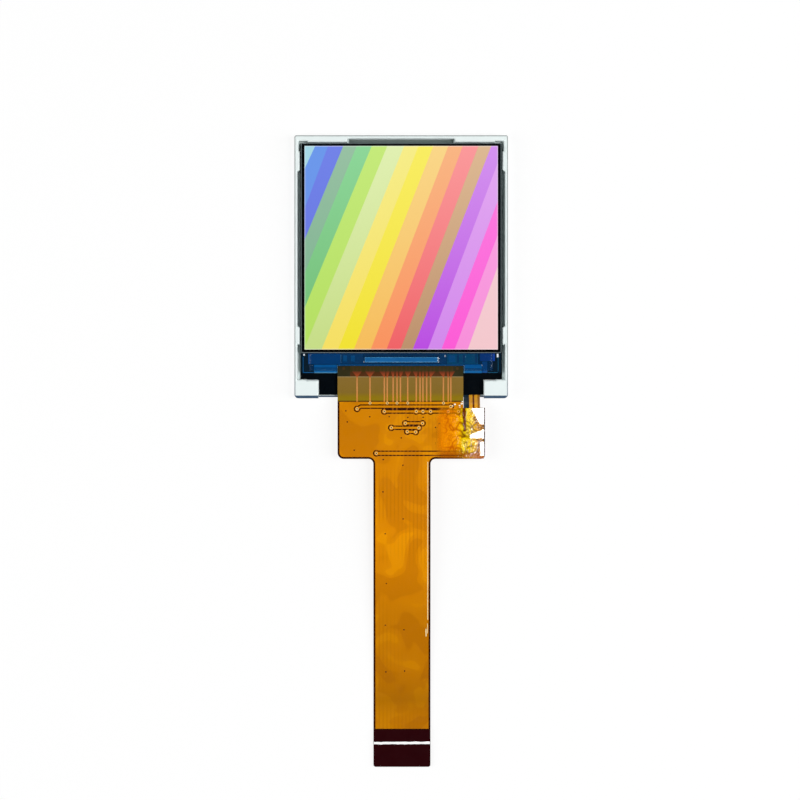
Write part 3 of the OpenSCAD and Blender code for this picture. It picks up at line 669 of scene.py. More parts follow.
# Each field is its tone and its left, right, lower and upper edge in millimetres
FIELDS = [
    (NAVY, -7.85, 5.95, -12.7, -11.38), (BLUE, -12.2, -7.95, -12.75, -11.4),
    (TEAL, 6.01, 10.08, -12.75, -11.4), (ROYAL, 10.34, 12.3, -12.35, -11.37),
    (BLUE, 10.66, 11.3, -13.9, -12.42), (MID, -11.44, -8.45, -13.88, -13.28),
    (MID, 8.34, 10.6, -13.93, -13.42), (BRIGHT, -11.44, -8.45, -13.22, -12.84),
    (BRIGHT, 8.34, 10.6, -13.34, -12.82), (MID, -8.28, 8.18, -12.98, -12.79),
    (PALE, -8.41, -8.31, -13.93, -12.9), (PALE, 8.22, 8.31, -13.93, -12.9),
]
# Some fields here are painted light: the darkest ones, above and below the chip, are painted shadow
# lines, the near-white specks at the chip's ends and the resin's corners are painted glints, and
# the thin strips along the ledge's left, right and lower edges are a painted light line along the
# glass edge
FIELDS_ON_TOP = [
    (PAINTED_SHADOW, -5.0, 5.1, -11.82, -11.42), (PAINTED_SHADOW, -5.0, 5.1, -12.68, -12.54),
    (MID, -7.62, -7.12, -12.4, -11.62), (MID, -6.6, -6.08, -12.4, -11.62),
    (NAVY, 7.32, 7.58, -12.6, -11.5), (NAVY, 8.1, 8.36, -12.6, -11.5),
    (NAVY, 9.7, 10.0, -12.6, -11.5), (MID, 6.2, 7.1, -12.5, -11.6),
    (PALE, -7.93, -7.88, -12.6, -11.45),
    (MID, -12.9, -12.84, -13.8, -11.8), (MID, -12.9, -11.5, -13.9, -13.84),
    (TEAL, 12.7, 12.76, -13.7, -11.9), (TEAL, 11.4, 12.7, -13.9, -13.84),
    (PALE, -11.4, -8.5, -13.93, -13.88), (PAINTED_GLINT, -12.85, -12.66, -11.66, -11.42),
    (PAINTED_GLINT, 12.55, 12.78, -11.86, -11.4), (PAINTED_GLINT, 5.66, 5.84, -11.84, -11.56),
    (PAINTED_GLINT, -4.95, -4.8, -11.8, -11.66), (PAINTED_GLINT, -4.96, -4.8, -12.56, -12.36),
    (PAINTED_GLINT, 4.82, 4.95, -11.78, -11.62), (PAINTED_GLINT, 4.84, 5.0, -12.5, -12.3),
    (PAINTED_GLINT, 10.56, 10.66, -12.98, -12.84), (PALE, 8.4, 8.5, -11.9, -11.7),
]
print("fields on the ledge:", len(FIELDS) + len(FIELDS_ON_TOP))

# %% Conductor slabs
def field_mesh(fields, level):
    """Thin slabs on the face of the ledge; each one's tone is stored on its corners."""
    mesh = bmesh.new()
    layer = mesh.verts.layers.float.new("tone")
    for tone, left, right, low, high in fields:
        made = bmesh.ops.create_cube(mesh, size=1)["verts"]
        size = Vector((right - left, high - low, CONDUCTOR_T))
        top = glass_high.z + level
        middle = Vector(((left + right) / 2, (low + high) / 2, top - CONDUCTOR_T / 2))
        bmesh.ops.scale(mesh, verts=made, vec=size * MM)
        bmesh.ops.translate(mesh, verts=made, vec=middle * MM)
        for vert in made:
            vert[layer] = (tone + 0.5) / len(TONES)
    return mesh


OXIDE_SHARE = 0.12


def conductor_colour(tree, place, axes):
    """The tone stored on a field, clouded a little by its oxide."""
    tone = add_node(tree, STORED, attribute_name="tone").outputs["Fac"]
    stops = [(i / len(TONES), code) for i, code in enumerate(TONES)]
    plain = set_stops(add_node(tree, RAMP, {0: tone}), stops, "CONSTANT")
    return 1 - OXIDE_SHARE, plain


# Sputtered metal under its oxide: deep blues that shine where a gap lets a pad through. The same
# finish carries the painted shadows and glints of the ledge
conductor = finish(
    "oxidised_conductor_film", "#0c6cb8", "#02203c", 0.9, 0.3, (0.12, 0.25), 0.0005,
    colour=conductor_colour, IOR=1.7,
)
piece("ledge_fields", field_mesh(FIELDS, CONDUCTOR_T), conductor, "tft_glass")
piece("ledge_details_and_painted_light", field_mesh(FIELDS_ON_TOP, 2 * CONDUCTOR_T), conductor, "tft_glass")

# %% Resin
RESIN_T = 0.19
LIFT = 0.012  # the resin's underside clears the conductors by a hair
EDGE_T = 0.02  # thickness that is left at the resin's free ends
CLIMB, CLIMB_REACH = 0.1, 0.1  # how high and how near it climbs the cover glass
BANK, BANK_REACH = 0.06, 0.12  # and the chip
SWELL, RIPPLE = 0.03, 0.006
END_ROUND = 0.3
GAP_TO_FLEX = 0.02
tab_left, tab_right = tab_low.x - GAP_TO_FLEX, bond_high.x + 0.1 + GAP_TO_FLEX
chip_y, chip_half = (chip_low.y + chip_high.y) / 2, 0.33


def in_resin(x, y):
    """True where resin covers the ledge: between the cover glass and the circuit, and beside it."""
    return y > tab_high.y or not tab_left < x < tab_right


def resin_top(x, y):
    """Height of the poured resin."""
    to_glass = cover_low.y - y
    to_end = min(x - resin_low.x, resin_high.x - x, y - resin_low.y)
    to_chip = max(abs(x) - chip_high.x, abs(y - chip_y) - chip_half, 0)
    swell = SWELL * noise.noise(Vector((x * 0.9, y * 1.7, 3.1)))
    swell += RIPPLE * noise.noise(Vector((x * 3.1, y * 4.0, 9.4)))
    rise = CLIMB * math.exp(-to_glass / CLIMB_REACH) + BANK * math.exp(-to_chip / BANK_REACH)
    return glass_high.z + EDGE_T + (RESIN_T + swell + rise) * ease(to_end / END_ROUND + 0.12)


# Poured silicone resin: a clear blue veil with soft, broken highlights
sealing_resin = finish(
    "poured_blue_resin", "#06467e", "#04325c", 1.6, 0.4, (0.08, 0.16), 0.0005,
    Alpha=0.25,
)
mesh = sheet_mesh(
    steps(resin_low.x, resin_high.x, 0.08), steps(resin_low.y, cover_low.y, 0.06),
    resin_top, lambda x, y: glass_high.z + LIFT, in_resin,
)
piece("resin_pool", mesh, sealing_resin, "ledge_resin", "ledge_resin", smooth=True)

# %% Chip
CHIP_ROUND = 0.05


def painted_rim_light(tree, place, axes):
    """Painted light: a pale rim where the die's sawn edge slopes."""
    sloping = add_node(tree, MATH, {0: upward_part(tree), 1: FLAT_UP}, operation="LESS_THAN")
    return sloping.outputs[0], linear("#5cb0e0")


# Polished silicon: a plain bright blue sliver, smoother than the resin round it, with painted light
# on its rim
chip_silicon = finish(
    "polished_silicon", "#1a6cae", "#11568e", 1.5, 0.3, (0.1, 0.2), 0.0005,
    colour=painted_rim_light, IOR=1.8,
)
mesh = rounded_copy("driver_chip", chip_high.z, CHIP_ROUND)
piece("driver_die", mesh, chip_silicon, "driver_chip", "driver_chip")

# %% [markdown]
# ## Flexible circuit
# The circuit is two layers of copper on amber polyimide, with an amber coverlay
# pressed over each side. Seen from the front, copper under the coverlay glows
# orange, and the bare gaps between the copper look dark red-brown. The pressed
# coverlay follows the copper, so every line stands up by a hair. The layers could
# be see-through films over metal, which would need many bounces of light and
# would lose their gloss. Instead the copper's own outline is lifted just through
# the coverlay, and each of the two takes the colour that the real pair shows.

# %% Colour of the pressed coverlay
REAR_PITCH = 0.5  # distance between the rear lines, in millimetres
TAIL_END_Y, BODY_Y = -62, -17  # the fade along the tail runs between these
PRESSED_DRIFT = 0.12


def flow_marks(tree, place):
    """Marks in close tones, where the coverlay's glue flowed under the press."""
    flow = add_node(
        tree, NOISE, {"Vector": place, "Scale": scale_for(5.5), "Detail": 1.2, "Distortion": 0.8},
    )
    return set_stops(add_node(tree, RAMP, {0: flow.outputs["Fac"]}), [
        (0.0, "#d68000"), (0.45, "#d68000"), (0.47, "#e28a00"), (0.55, "#e68e00"),
        (0.57, "#f09800"), (1.0, "#f29a00"),
    ])


def rear_line_marks(tree, place, x):
    """Fine lines where the rear copper presses through, in cloudy patches."""
    turn = add_node(tree, MATH, {0: x, 1: 2 * math.pi / (REAR_PITCH * MM)}, operation="MULTIPLY")
    wave = add_node(tree, MATH, {0: turn.outputs[0]}, operation="SINE")
    patch = add_node(tree, NOISE, {"Vector": place, "Scale": scale_for(9.0), "Detail": 2})
    where = add_node(
        tree, RANGE,
        {"Value": patch.outputs["Fac"], "From Min": 0.48, "From Max": 0.6, "To Max": 0.35},
    )
    return add_node(
        tree, MATH, {0: wave.outputs[0], 1: where.outputs["Result"]}, operation="MULTIPLY",
    ).outputs[0]


def pressed_colour(tree, place, axes):
    """Flow marks, a slow fade along the tail that is painted sheen, and the rear lines pressed
    through.
    """
    # The fade along the tail is painted sheen: lighter and darker stretches where the gloss would
    # take the room's light
    fade = shades_along(tree, axes["Y"], TAIL_END_Y * MM, BODY_Y * MM, [
        (0.0, "#dcdcdc"), (0.06, "#d2d2d2"), (0.11, "#bababa"), (0.2, "#d6d6d6"),
        (0.36, "#dedede"), (0.5, "#f6f6f6"), (0.6, "#ffffff"), (0.75, "#fafafa"),
        (0.9, "#f0f0f0"), (1.0, "#ececec"),
    ])
    faded = add_node(
        tree, MIX, {0: 1.0, MIX_A: flow_marks(tree, place), MIX_B: fade},
        data_type="RGBA", blend_type="MULTIPLY",
    ).outputs[MIX_OUT]
    marks = rear_line_marks(tree, place, axes["X"])
    lined = add_node(
        tree, MIX, {0: marks, MIX_A: faded, MIX_B: linear("#a86200")}, data_type="RGBA",
    )
    return 1 - PRESSED_DRIFT, lined.outputs[MIX_OUT]


print("rear lines every", REAR_PITCH, "mm")

# %% Colours of the tab
HEAD_HALF = 6.75  # how far the row of bond heads reaches on each side of the tab's middle
HEAD_MIDDLE = 0.05
TAB_DRIFT, LINE_DRIFT = 0.1, 0.06


def shaded_tab(tree, place, axes):
    """Olive over the black tape, in part a painted reflection of the room's light, reddish round
    the heads, dark where the film is glued.
    """
    low = [
        (0.0, "#54380c"), (0.02, "#5c400c"), (0.04, "#927a0c"), (0.14, "#90760e"),
        (0.26, "#866a28"), (0.68, "#8a6c30"), (0.69, "#948058"), (0.705, "#948058"),
    ]
    inner, outer = (
        shades_along(tree, axes["Y"], flex_high.y * MM, tab_high.y * MM, low + high) for high in (
            [(0.71, "#522812"), (0.82, "#441f10"), (0.85, "#2c2a14"), (1.0, "#262410")],
            [(0.71, "#1c2418"), (1.0, "#141c14")],
        )
    )
    past_heads = beyond(tree, axes["X"], HEAD_MIDDLE * MM, HEAD_HALF * MM)
    beside = add_node(tree, MATH, {0: past_heads, 1: 0.0}, operation="GREATER_THAN")
    tone = add_node(tree, MIX, {0: beside.outputs[0], MIX_A: inner, MIX_B: outer}, data_type="RGBA")
    return 1 - TAB_DRIFT, tone.outputs[MIX_OUT]


def shaded_lines(tree, place, axes):
    """Copper under the film: dark in the glued zone, reddish at the heads, gold-orange below."""
    return 1 - LINE_DRIFT, shades_along(tree, axes["Y"], flex_high.y * MM, tab_high.y * MM, [
        (0.0, "#dc8c38"), (0.4, "#d08c50"), (0.66, "#cc8648"), (0.71, "#a04420"),
        (0.82, "#6c2c16"), (0.86, "#302a16"), (1.0, "#28240f"),
    ])


print("the tab shows", round(tab_high.y - flex_high.y, 2), "mm of bare film")

# %% Flex finishes
# Coverlay over copper: saturated orange, glossy with a faint pressed unevenness
lit_coverlay = finish(
    "coverlay_over_copper", "#d58a00", "#c47800", 6.0, 0.8, (0.14, 0.2), 0.003,
    colour=pressed_colour,
)
# Coverlay with no copper under it: the dark red-brown outline of every line and edge
bare_coverlay = finish(
    "coverlay_over_bare_film", "#3c1804", "#301002", 1.2, 0.8, (0.14, 0.2), 0.003,
)
# Rear coverlay: the same film, duller, as nothing bright lies behind it
rear_coverlay = finish(
    "rear_polyimide_coverlay", "#b06c04", "#9a5c02", 5.0, 0.8, (0.16, 0.24), 0.003,
)
# Bare base film of the tab: olive amber, smoother than the coverlay
base_film = finish(
    "amber_polyimide_film", "#8a6a20", "#6e5518", 1.5, 0.6, (0.14, 0.22), 0.002,
    colour=shaded_tab,
)
# Rear lines through the bare film: thin copper-orange strokes
seen_lines = finish(
    "copper_seen_through_film", "#d08a44", "#a35a2c", 0.8, 0.3, (0.16, 0.24), 0.001,
    colour=shaded_lines,
)
# Rear lines where they cross a bare gap: short brown bridges in the dark outline
crossing_lines = finish(
    "rear_copper_seen_in_gaps", "#8e5014", "#74400e", 0.8, 0.3, (0.16, 0.24), 0.001,
)
# Rear coverlay over its lines: fine lighter ribs on the underside
rear_lines = finish("coverlay_over_rear_lines", "#d68c10", "#c47a08", 3.0, 0.5, (0.16, 0.24), 0.002)
# Electroless nickel and gold on copper: the warm metal shine of the contacts
gold_plate = finish(
    "gold_plated_copper", "#e6b85a", "#d8a440", 0.8, 0.1, (0.2, 0.32), 0.0006, Metallic=1.0,
)
# Dyed polyimide stiffener: nearly black wine red, flat and glossy
stiff_film = finish("dark_polyimide_stiffener", "#2c0509", "#240206", 2.5, 0.8, (0.1, 0.16), 0.0006)
dress(bare_coverlay, "flex_front_coverlay")
dress(base_film, "flex_base_film")
dress(gold_plate, "flex_rear_copper", "led_flex_copper")
dress(stiff_film, "flex_stiffener")

# %% Copper that shows through the coverlay
EMBOSS = 0.006
COVER_T, BASE_T = 0.03, 0.05
mesh = merged("flex_front_copper")
bmesh.ops.translate(mesh, verts=mesh.verts, vec=(0, 0, (COVER_T + EMBOSS) * MM))
piece("front_copper_relief", mesh, lit_coverlay, "flex_front_copper", "flex_front_copper")


def between(node, low, high, lift):
    """The part of a CAD node between two places along the flex, closed at its cuts and lifted."""
    mesh = merged(node)
    for y, way in ((low, -1), (high, 1)):
        bmesh.ops.bisect_plane(
            mesh, geom=mesh.verts[:] + mesh.edges[:] + mesh.faces[:],
            plane_co=(0, y * MM, 0), plane_no=(0, way, 0), clear_outer=True,
        )
        bmesh.ops.holes_fill(mesh, edges=[e for e in mesh.edges if len(e.link_faces) == 1])
    bmesh.ops.translate(mesh, verts=mesh.verts, vec=(0, 0, lift * MM))
    return mesh


# %% Rear copper
# It is seen through the tab, seen in the bare gaps, and pressed through on the rear
HAIR = 0.005
GAP_LOW_Y = -25.9
REAR_LOW_Y, REAR_HIGH_Y = -61.8, -14.2
GAP_RELIEF = BASE_T + 0.02 + COVER_T + EMBOSS / 2
piece(
    "tab_lines", between("flex_rear_copper", flex_high.y + HAIR, tab_high.y, BASE_T + EMBOSS),
    seen_lines, "flex_rear_copper",
)
piece(
    "gap_lines", between("flex_rear_copper", GAP_LOW_Y, flex_high.y - HAIR, GAP_RELIEF),
    crossing_lines, "flex_rear_copper",
)

mesh = between("flex_rear_copper", REAR_LOW_Y, REAR_HIGH_Y, -COVER_T - EMBOSS)
for vert in mesh.verts:
    vert.co.z = max(vert.co.z, 0.0)  # nothing goes below the table
piece("rear_line_relief", mesh, rear_lines, "flex_rear_copper")

mesh = merged("flex_rear_coverlay")
for vert in mesh.verts:
    vert.co.z = max(vert.co.z, EMBOSS * MM)  # so the lines stand out from it
piece("rear_coverlay_film", mesh, rear_coverlay, "flex_rear_coverlay", "flex_rear_coverlay")

# %% [markdown]
# ## Vias
# Small drilled vias join the two copper layers. Each one is a bright ring round a
# dark dimple of painted shade where the hole is, or on the ground copper the
# dimple alone. They repeat, so Geometry Nodes set one disc on every point of a
# list. The vias of the body are found in the copper's own mesh, as its small round
# holes.

# %% Small round holes in a mesh
VIA_HOLE_R, HOLE_SLACK = 0.08, 0.01


def groups(items, near):
    """Splits items into groups that hang together. near lists the neighbours of an item."""
    left, found = set(items), []
    while left:
        queue = [left.pop()]
        group = set(queue)
        while queue:
            more = left.intersection(near(queue.pop()))
            left -= more
            group |= more
            queue.extend(more)
        found.append(group)
    return found


def holes_in(node):
    """Middle of each via hole in a node's top face, and whether it is in the largest piece."""
    mesh = merged(node)
    ground = max(groups(mesh.verts, lambda v: [e.other_vert(v) for e in v.link_edges]), key=len)
    rim = rim_edges(mesh, copper_high.z)
    found = []
    for loop in groups(rim, lambda e: [other for v in e.verts for other in v.link_edges]):
        ends = {v for e in loop for v in e.verts}
        middle = sum((v.co for v in ends), Vector()) / len(ends)
        radius = max((v.co - middle).length for v in ends) / MM
        if abs(radius - VIA_HOLE_R) < HOLE_SLACK:
            found.append((middle.x / MM, middle.y / MM, ends <= ground))
    mesh.free()
    return sorted(found)


body_vias = holes_in("flex_front_copper")
print("vias in the body:", len(body_vias), "of which in the ground:", sum(v[2] for v in body_vias))

# %% Height of the tail
tops = {}
for vert in frame["nodes"]["flex_front_coverlay"].data.vertices:
    key = round(vert.co.y / MM, 4)
    tops[key] = max(tops.get(key, -1), vert.co.z / MM)


def tail_top(y):
    """Height of the tail's front face, between the rows of the coverlay's mesh."""
    below, above = max(r for r in tops if r <= y), min(r for r in tops if r >= y)
    if above == below:
        return tops[below]
    return tops[below] + (tops[above] - tops[below]) * (y - below) / (above - below)


print("the tail's front face at y = -30 and -60:", round(tail_top(-30), 3), round(tail_top(-60), 3))

# %% One disc on every point
DISC_SIDES = 14


def repeat_tree(name, material):
    """A tree that sets one disc on each point of a mesh, with its radius and depth as inputs."""
    tree = bpy.data.node_groups.new(name, "GeometryNodeTree")
    for title, kind, way in (
        ("Geometry", "NodeSocketGeometry", "INPUT"), ("Radius", "NodeSocketFloat", "INPUT"),
        ("Depth", "NodeSocketFloat", "INPUT"), ("Geometry", "NodeSocketGeometry", "OUTPUT"),
    ):
        tree.interface.new_socket(title, in_out=way, socket_type=kind)
    start = add_node(tree, "NodeGroupInput")
    disc = add_node(
        tree, "GeometryNodeMeshCylinder",
        {
            "Vertices": DISC_SIDES, "Radius": start.outputs["Radius"],
            "Depth": start.outputs["Depth"],
        },
    )
    spread = add_node(
        tree, "GeometryNodeInstanceOnPoints",
        {"Points": start.outputs["Geometry"], "Instance": disc.outputs["Mesh"]},
    )
    solid = add_node(tree, "GeometryNodeRealizeInstances", {0: spread.outputs[0]})
    painted = add_node(
        tree, "GeometryNodeSetMaterial", {"Geometry": solid.outputs[0], "Material": material}
    )
    add_node(tree, "NodeGroupOutput", {0: painted.outputs[0]})
    return tree


def grown(name, points, tree, values):
    """Runs a tree on a list of points in millimetres and returns the result as a bmesh."""
    data = bpy.data.meshes.new(name)
    data.from_pydata([Vector(p) * MM for p in points], [], [])
    seed = bpy.data.objects.new(name, data)
    bpy.context.scene.collection.objects.link(seed)
    change = seed.modifiers.new("grow", "NODES")
    change.node_group = tree
    for item in tree.interface.items_tree:
        if item.in_out == "INPUT" and item.name in values:
            change[item.identifier] = values[item.name]
    done = bpy.data.meshes.new_from_object(
        seed.evaluated_get(bpy.context.evaluated_depsgraph_get())
    )
    mesh = bmesh.new()
    mesh.from_mesh(done)
    bpy.data.objects.remove(seed)
    bpy.data.meshes.remove(done)
    return mesh


print("one disc has", DISC_SIDES, "sides")

# %% Rings and dimples
# X and Y of each via on the tail, in millimetres
TAIL_VIAS = [
    (-2.39, -29.54), (0.26, -33.09), (-2.10, -35.03), (-1.96, -41.58),
    (-2.09, -47.11), (0.37, -47.71), (-2.01, -53.30), (0.45, -53.19),
]
RING_R, DIMPLE_R, DISC_T = 0.18, 0.095, 0.012
RING_LIFT, DIMPLE_LIFT = 0.002, 0.004  # the dimple lies a hair above its ring
STRAP_Y = flex_high.y - 0.25

# Plated copper under the film: a small bright gold ring
ring_copper = finish("plated_via_ring", "#ffdc90", "#f4c468", 0.3, 0.1, (0.2, 0.3), 0.001)
# Painted shade of the drilled hole under the film: a dark red point
via_shadow = finish("painted_via_hole_shade", "#3c0800", "#2a0400", 0.3, 0.1, (0.2, 0.3), 0.001)
ringed = [(x, y) for x, y, grounded in body_vias if not grounded or y > STRAP_Y]
ring_z = flex_high.z + EMBOSS - DISC_T / 2 + RING_LIFT
mesh = grown(
    "via_rings", [(x, y, ring_z) for x, y in ringed],
    repeat_tree("rings", ring_copper), {"Radius": RING_R * MM, "Depth": DISC_T * MM},
)
piece("via_rings", mesh, ring_copper, "flex_front_copper")
dimples = [(x, y) for x, y, grounded in body_vias] + TAIL_VIAS
mesh = grown(
    "via_dimples",
    [(x, y, tail_top(y) + EMBOSS - DISC_T / 2 + DIMPLE_LIFT) for x, y in dimples],
    repeat_tree("dimples", via_shadow), {"Radius": DIMPLE_R * MM, "Depth": DISC_T * MM},
)
piece("via_dimples", mesh, via_shadow, "flex_front_copper")

# %% [markdown]
# ## Printed line
# A white line is printed across the stiffener, to show how far the tail goes into
# its socket. It could be colour in the stiffener's own finish. A sheet of ink a
# hair thick keeps its slightly ragged edge sharp at any distance.

# %% Printed line on the stiffener
LINE_Y, LINE_W, LINE_T, LINE_TILT = -62.66, 0.32, 0.008, 0.005
LINE_INSET = 0.05
EDGE_WOBBLE = 0.05
# Matt ink: a plain white that stays white when the film round it shines
print_ink = finish("white_printed_ink", "#ffffff", "#f6f9f9", 1.8, 0.15, (0.5, 0.65), 0.002)
mesh = sheet_mesh(
    steps(stiff_low.x + LINE_INSET, stiff_high.x - LINE_INSET, 0.2), [-1, 1],
    lambda x, y: stiff_high.z + LINE_T, lambda x, y: stiff_high.z - LINE_T,
)
for vert in mesh.verts:
    x, side = vert.co.x / MM, vert.co.y / MM
    wobble = EDGE_WOBBLE * noise.noise(Vector((x * 1.3, side * 2, 5.0)))
    vert.co.y = (LINE_Y + LINE_TILT * x + side * LINE_W / 2 + wobble) * MM
piece("insertion_line", mesh, print_ink, "flex_stiffener")

# %% [markdown]
# ## Light sources' tail and its tape
# The backlight's own small circuit climbs over the frame and is soldered to the
# arm of the main one. A strip of clear amber tape is pressed over the joints. It
# is crumpled where it bridges the leads, and falls away to the arm's edge, so it
# throws white glints. Cloth would drape too softly for so stiff a film, so its
# height is a formula too: a tent over the leads, sharp folds, and fine crumples
# that die out on the two flat facets that mirror the lamp.

# %% Shape of the joint tape
TAPE_LEFT, TAPE_RIGHT = 4.48, tab_high.x - 0.13
TAPE_TOP, TAPE_LOW = -18.55, -25.15
TAPE_T = 0.03
SLOPE_X, RIDGE_X, RIDGE_H = 6.0, 9.0, 0.38
CRUMPLE, CRUMPLE_MORE = 0.014, 0.06  # depth of the crumples at the left, and what the right adds


def facet(x, y):
    """1 on the smooth facets of the tape, and 0 where it is crumpled."""
    # Each facet is bounded by lines, in millimetres: a point is inside it by the least distance
    upper = min(x - (9.05 + 0.55 * (-18.5 - y)), y + 20.75)
    lower = min(0.42 - abs(y + 22.15 - 0.2 * (x - 9.6)) + 0.22 * (x - 9.6), x - 8.4)
    skirt = min(x - 10.3, -22.9 - y, y + 24.9)
    return ease(max(upper, lower, skirt) / 0.16 + 0.5)


def crease(x, y):
    """Depth of the crumples, from 0 to 1, with sharp valleys."""
    bend = 0.9 * noise.noise(Vector((x * 0.8, y * 0.8, 5.5)))
    wide = 1 - abs(noise.noise(Vector((x * 1.7 + bend, y * 1.2, 1.7)))) / 0.3
    fine = 1 - abs(noise.noise(Vector((x * 4.2 - bend, y * 3.6, 4.9)))) / 0.3
    return max(0.0, wide, 0.8 * fine)


def reach_of_crumples(x, y):
    """1 in the crumpled middle, fading to 0 where the tape lies flat."""
    from_left = ease((x - TAPE_LEFT) / 1.8)
    from_foot = ease((y - TAPE_LOW + 0.1) / 0.4)
    from_top = ease((TAPE_TOP - y + 0.4) / 0.8)
    return from_left * from_foot * from_top


def tape_top(x, y):
    """Height of the crumpled tape above the table."""
    rise = RIDGE_H * ease((x - SLOPE_X) / (RIDGE_X - SLOPE_X))
    fall = (TAPE_RIGHT - x) * RIDGE_H / (TAPE_RIGHT - RIDGE_X)
    tent = min(rise, fall) if x > SLOPE_X else 0.0
    rough = 1 - facet(x, y) if x > RIDGE_X - 0.6 else 1.0
    depth = CRUMPLE + CRUMPLE_MORE * ease((x - 7.8) / 1.0)
    return (
        flex_high.z + EMBOSS + TAPE_T + tent
        + depth * (1 - crease(x, y)) * rough * reach_of_crumples(x, y)
    )


print("the tape's ridge lies", round(tape_top(RIDGE_X, -21.0), 2), "mm above the table")

# %% Colour of the joint tape
TAPE_GLOW = 0.2  # light that comes up through the film from the pale table
FOOT_TOP, FOOT_LOW, FOOT_SHARE = 1.1, 0.5, 0.8  # brown band at the foot: edges above it, and share


def crumpled_colour(tree, place, axes):
    """Orange like the circuit at the left, clear yellow to the right, with painted brown shade in
    the folds.
    """
    crest, painted_fold_shade = (
        shades_along(tree, axes["X"], TAPE_LEFT * MM, TAPE_RIGHT * MM, stops) for stops in (
            [(0.0, "#e08a00"), (0.2, "#ee9200"), (0.38, "#f8a000"), (0.5, "#ffc000"),
             (0.56, "#ffe000"), (0.75, "#ffd000"), (0.88, "#e89c00"), (1.0, "#b87800")],
            [(0.0, "#d88000"), (0.15, "#c86400"), (0.48, "#b85000"), (0.56, "#6c2c00"),
             (1.0, "#3c1c00")],
        )
    )
    fold_shade = add_node(tree, STORED, attribute_name="fold_shade").outputs["Fac"]
    folded = add_node(tree, MIX, {0: fold_shade, MIX_A: crest, MIX_B: painted_fold_shade}, data_type="RGBA")
    at_foot = add_node(
        tree, RANGE,
        {
            "Value": axes["Y"], "From Min": (TAPE_LOW + FOOT_TOP) * MM,
            "From Max": (TAPE_LOW + FOOT_LOW) * MM, "To Max": FOOT_SHARE,
        },
    )
    return 1.0, add_node(
        tree, MIX,
        {0: at_foot.outputs["Result"], MIX_A: folded.outputs[MIX_OUT], MIX_B: linear("#9c4a06")},
        data_type="RGBA",
    ).outputs[MIX_OUT]


# Clear amber tape: glossy, yellow where it stands off the circuit, with white glints and painted
# brown shade in its folds
joint_film = finish(
    "crumpled_polyimide_tape", "#f2a800", "#d98400", 0.9, 0.3, (0.06, 0.1), 0.001,
    colour=crumpled_colour, IOR=1.6,
)
tree = joint_film.node_tree
shader = tree.nodes["Principled BSDF"]
tree.links.new(shader.inputs["Base Color"].links[0].from_socket, shader.inputs["Emission Color"])
shader.inputs["Emission Strength"].default_value = TAPE_GLOW
for name, socket in (("cover", "Alpha"), ("scuff", "Roughness")):
    stored = add_node(tree, STORED, attribute_name=name)
    tree.links.new(stored.outputs["Fac"], shader.inputs[socket])
print("the tape's cover, scuffs and folds are read from its mesh")

# %% Joint tape
LEAD_SHADE_STRIP = (8.1, 8.5, -21.6)  # a strip of painted shade beside the leads: left, right and lower end
MIDDLE_COVER, TRACE_COVER, RIGHT_COVER = 0.75, 0.3, 0.93
TRACE_TOP, TRACE_LOW = -19.3, -24.2  # the circuit shows through between these
SCUFF, SCUFF_MORE = 0.06, 0.03  # roughness of a facet, and what the crumples add


def cover_at(x, y):
    """How much of the circuit the tape hides."""
    over_traces = 1 - ease(min(TRACE_TOP - y, y - TRACE_LOW) / 0.6)
    middle = MIDDLE_COVER + (TRACE_COVER - MIDDLE_COVER) * over_traces
    return max(middle * ease((x - TAPE_LEFT) / 1.2), RIGHT_COVER * ease((x - 7.7) / 0.6))


def fold_shade_at(x, y):
    """How much painted shade a point takes, from 0 to 1: full in the strip beside the leads, and
    deep in the creases.
    """
    sway = 0.25 * noise.noise(Vector((0.0, y * 1.3, 2.2)))
    in_lead_shade = ease(min(x + sway - LEAD_SHADE_STRIP[0], LEAD_SHADE_STRIP[1] - x - sway / 2, y - LEAD_SHADE_STRIP[2]) / 0.1 + 0.5)
    return max(in_lead_shade, min(1.0, crease(x, y) ** 1.5) * reach_of_crumples(x, y))


mesh = sheet_mesh(
    steps(TAPE_LEFT, TAPE_RIGHT, 0.07), steps(TAPE_LOW, TAPE_TOP, 0.07),
    tape_top, lambda x, y: tape_top(x, y) - TAPE_T,
)
layers = {name: mesh.verts.layers.float.new(name) for name in ("fold_shade", "cover", "scuff")}
for vert in mesh.verts:
    x, y = vert.co.x / MM, vert.co.y / MM
    vert[layers["fold_shade"]] = fold_shade_at(x, y)
    vert[layers["cover"]] = cover_at(x, y)
    vert[layers["scuff"]] = SCUFF + SCUFF_MORE * (1 - facet(x, y))
piece("joint_tape_film", mesh, joint_film, "joint_tape", "joint_tape")

# %% [markdown]
# ## Painted highlights and glints
# Pale beads stand for light that the circuit throws back: a thin line of painted
# highlight along the tail's right edge, and white drops of painted glints at the
# arm's corner, beside the solder joints. Painted spots would lie flat; thin beads of
# their own catch the lamps' light as well.

# %% Painted highlight along the edge
# Left, right, lower and upper edge of each strip of painted highlight along the film's right edge,
# in millimetres
HIGHLIGHT_RUNS = [(3.44, 3.54, -46.4, -25.6), (3.2, 3.34, -48.6, -47.6), (3.42, 3.5, -48.2, -46.9)]
HIGHLIGHT_H = 0.012
# Painted highlight: a thin pale line that glints beside the orange
edge_highlight = finish(
    "painted_edge_highlight", "#fff0c4", "#f2cf80", 1.2, 0.2, (0.1, 0.2), 0.001, IOR=1.47,
)
mesh = bmesh.new()
for left, right, low, high in HIGHLIGHT_RUNS:
    sheet_mesh(
        [left, right], steps(low, high, 0.4), lambda x, y: tail_top(y) + EMBOSS + HIGHLIGHT_H,
        lambda x, y: tail_top(y), mesh=mesh,
    )
piece("painted_highlight_beads", mesh, edge_highlight, "flex_front_coverlay")

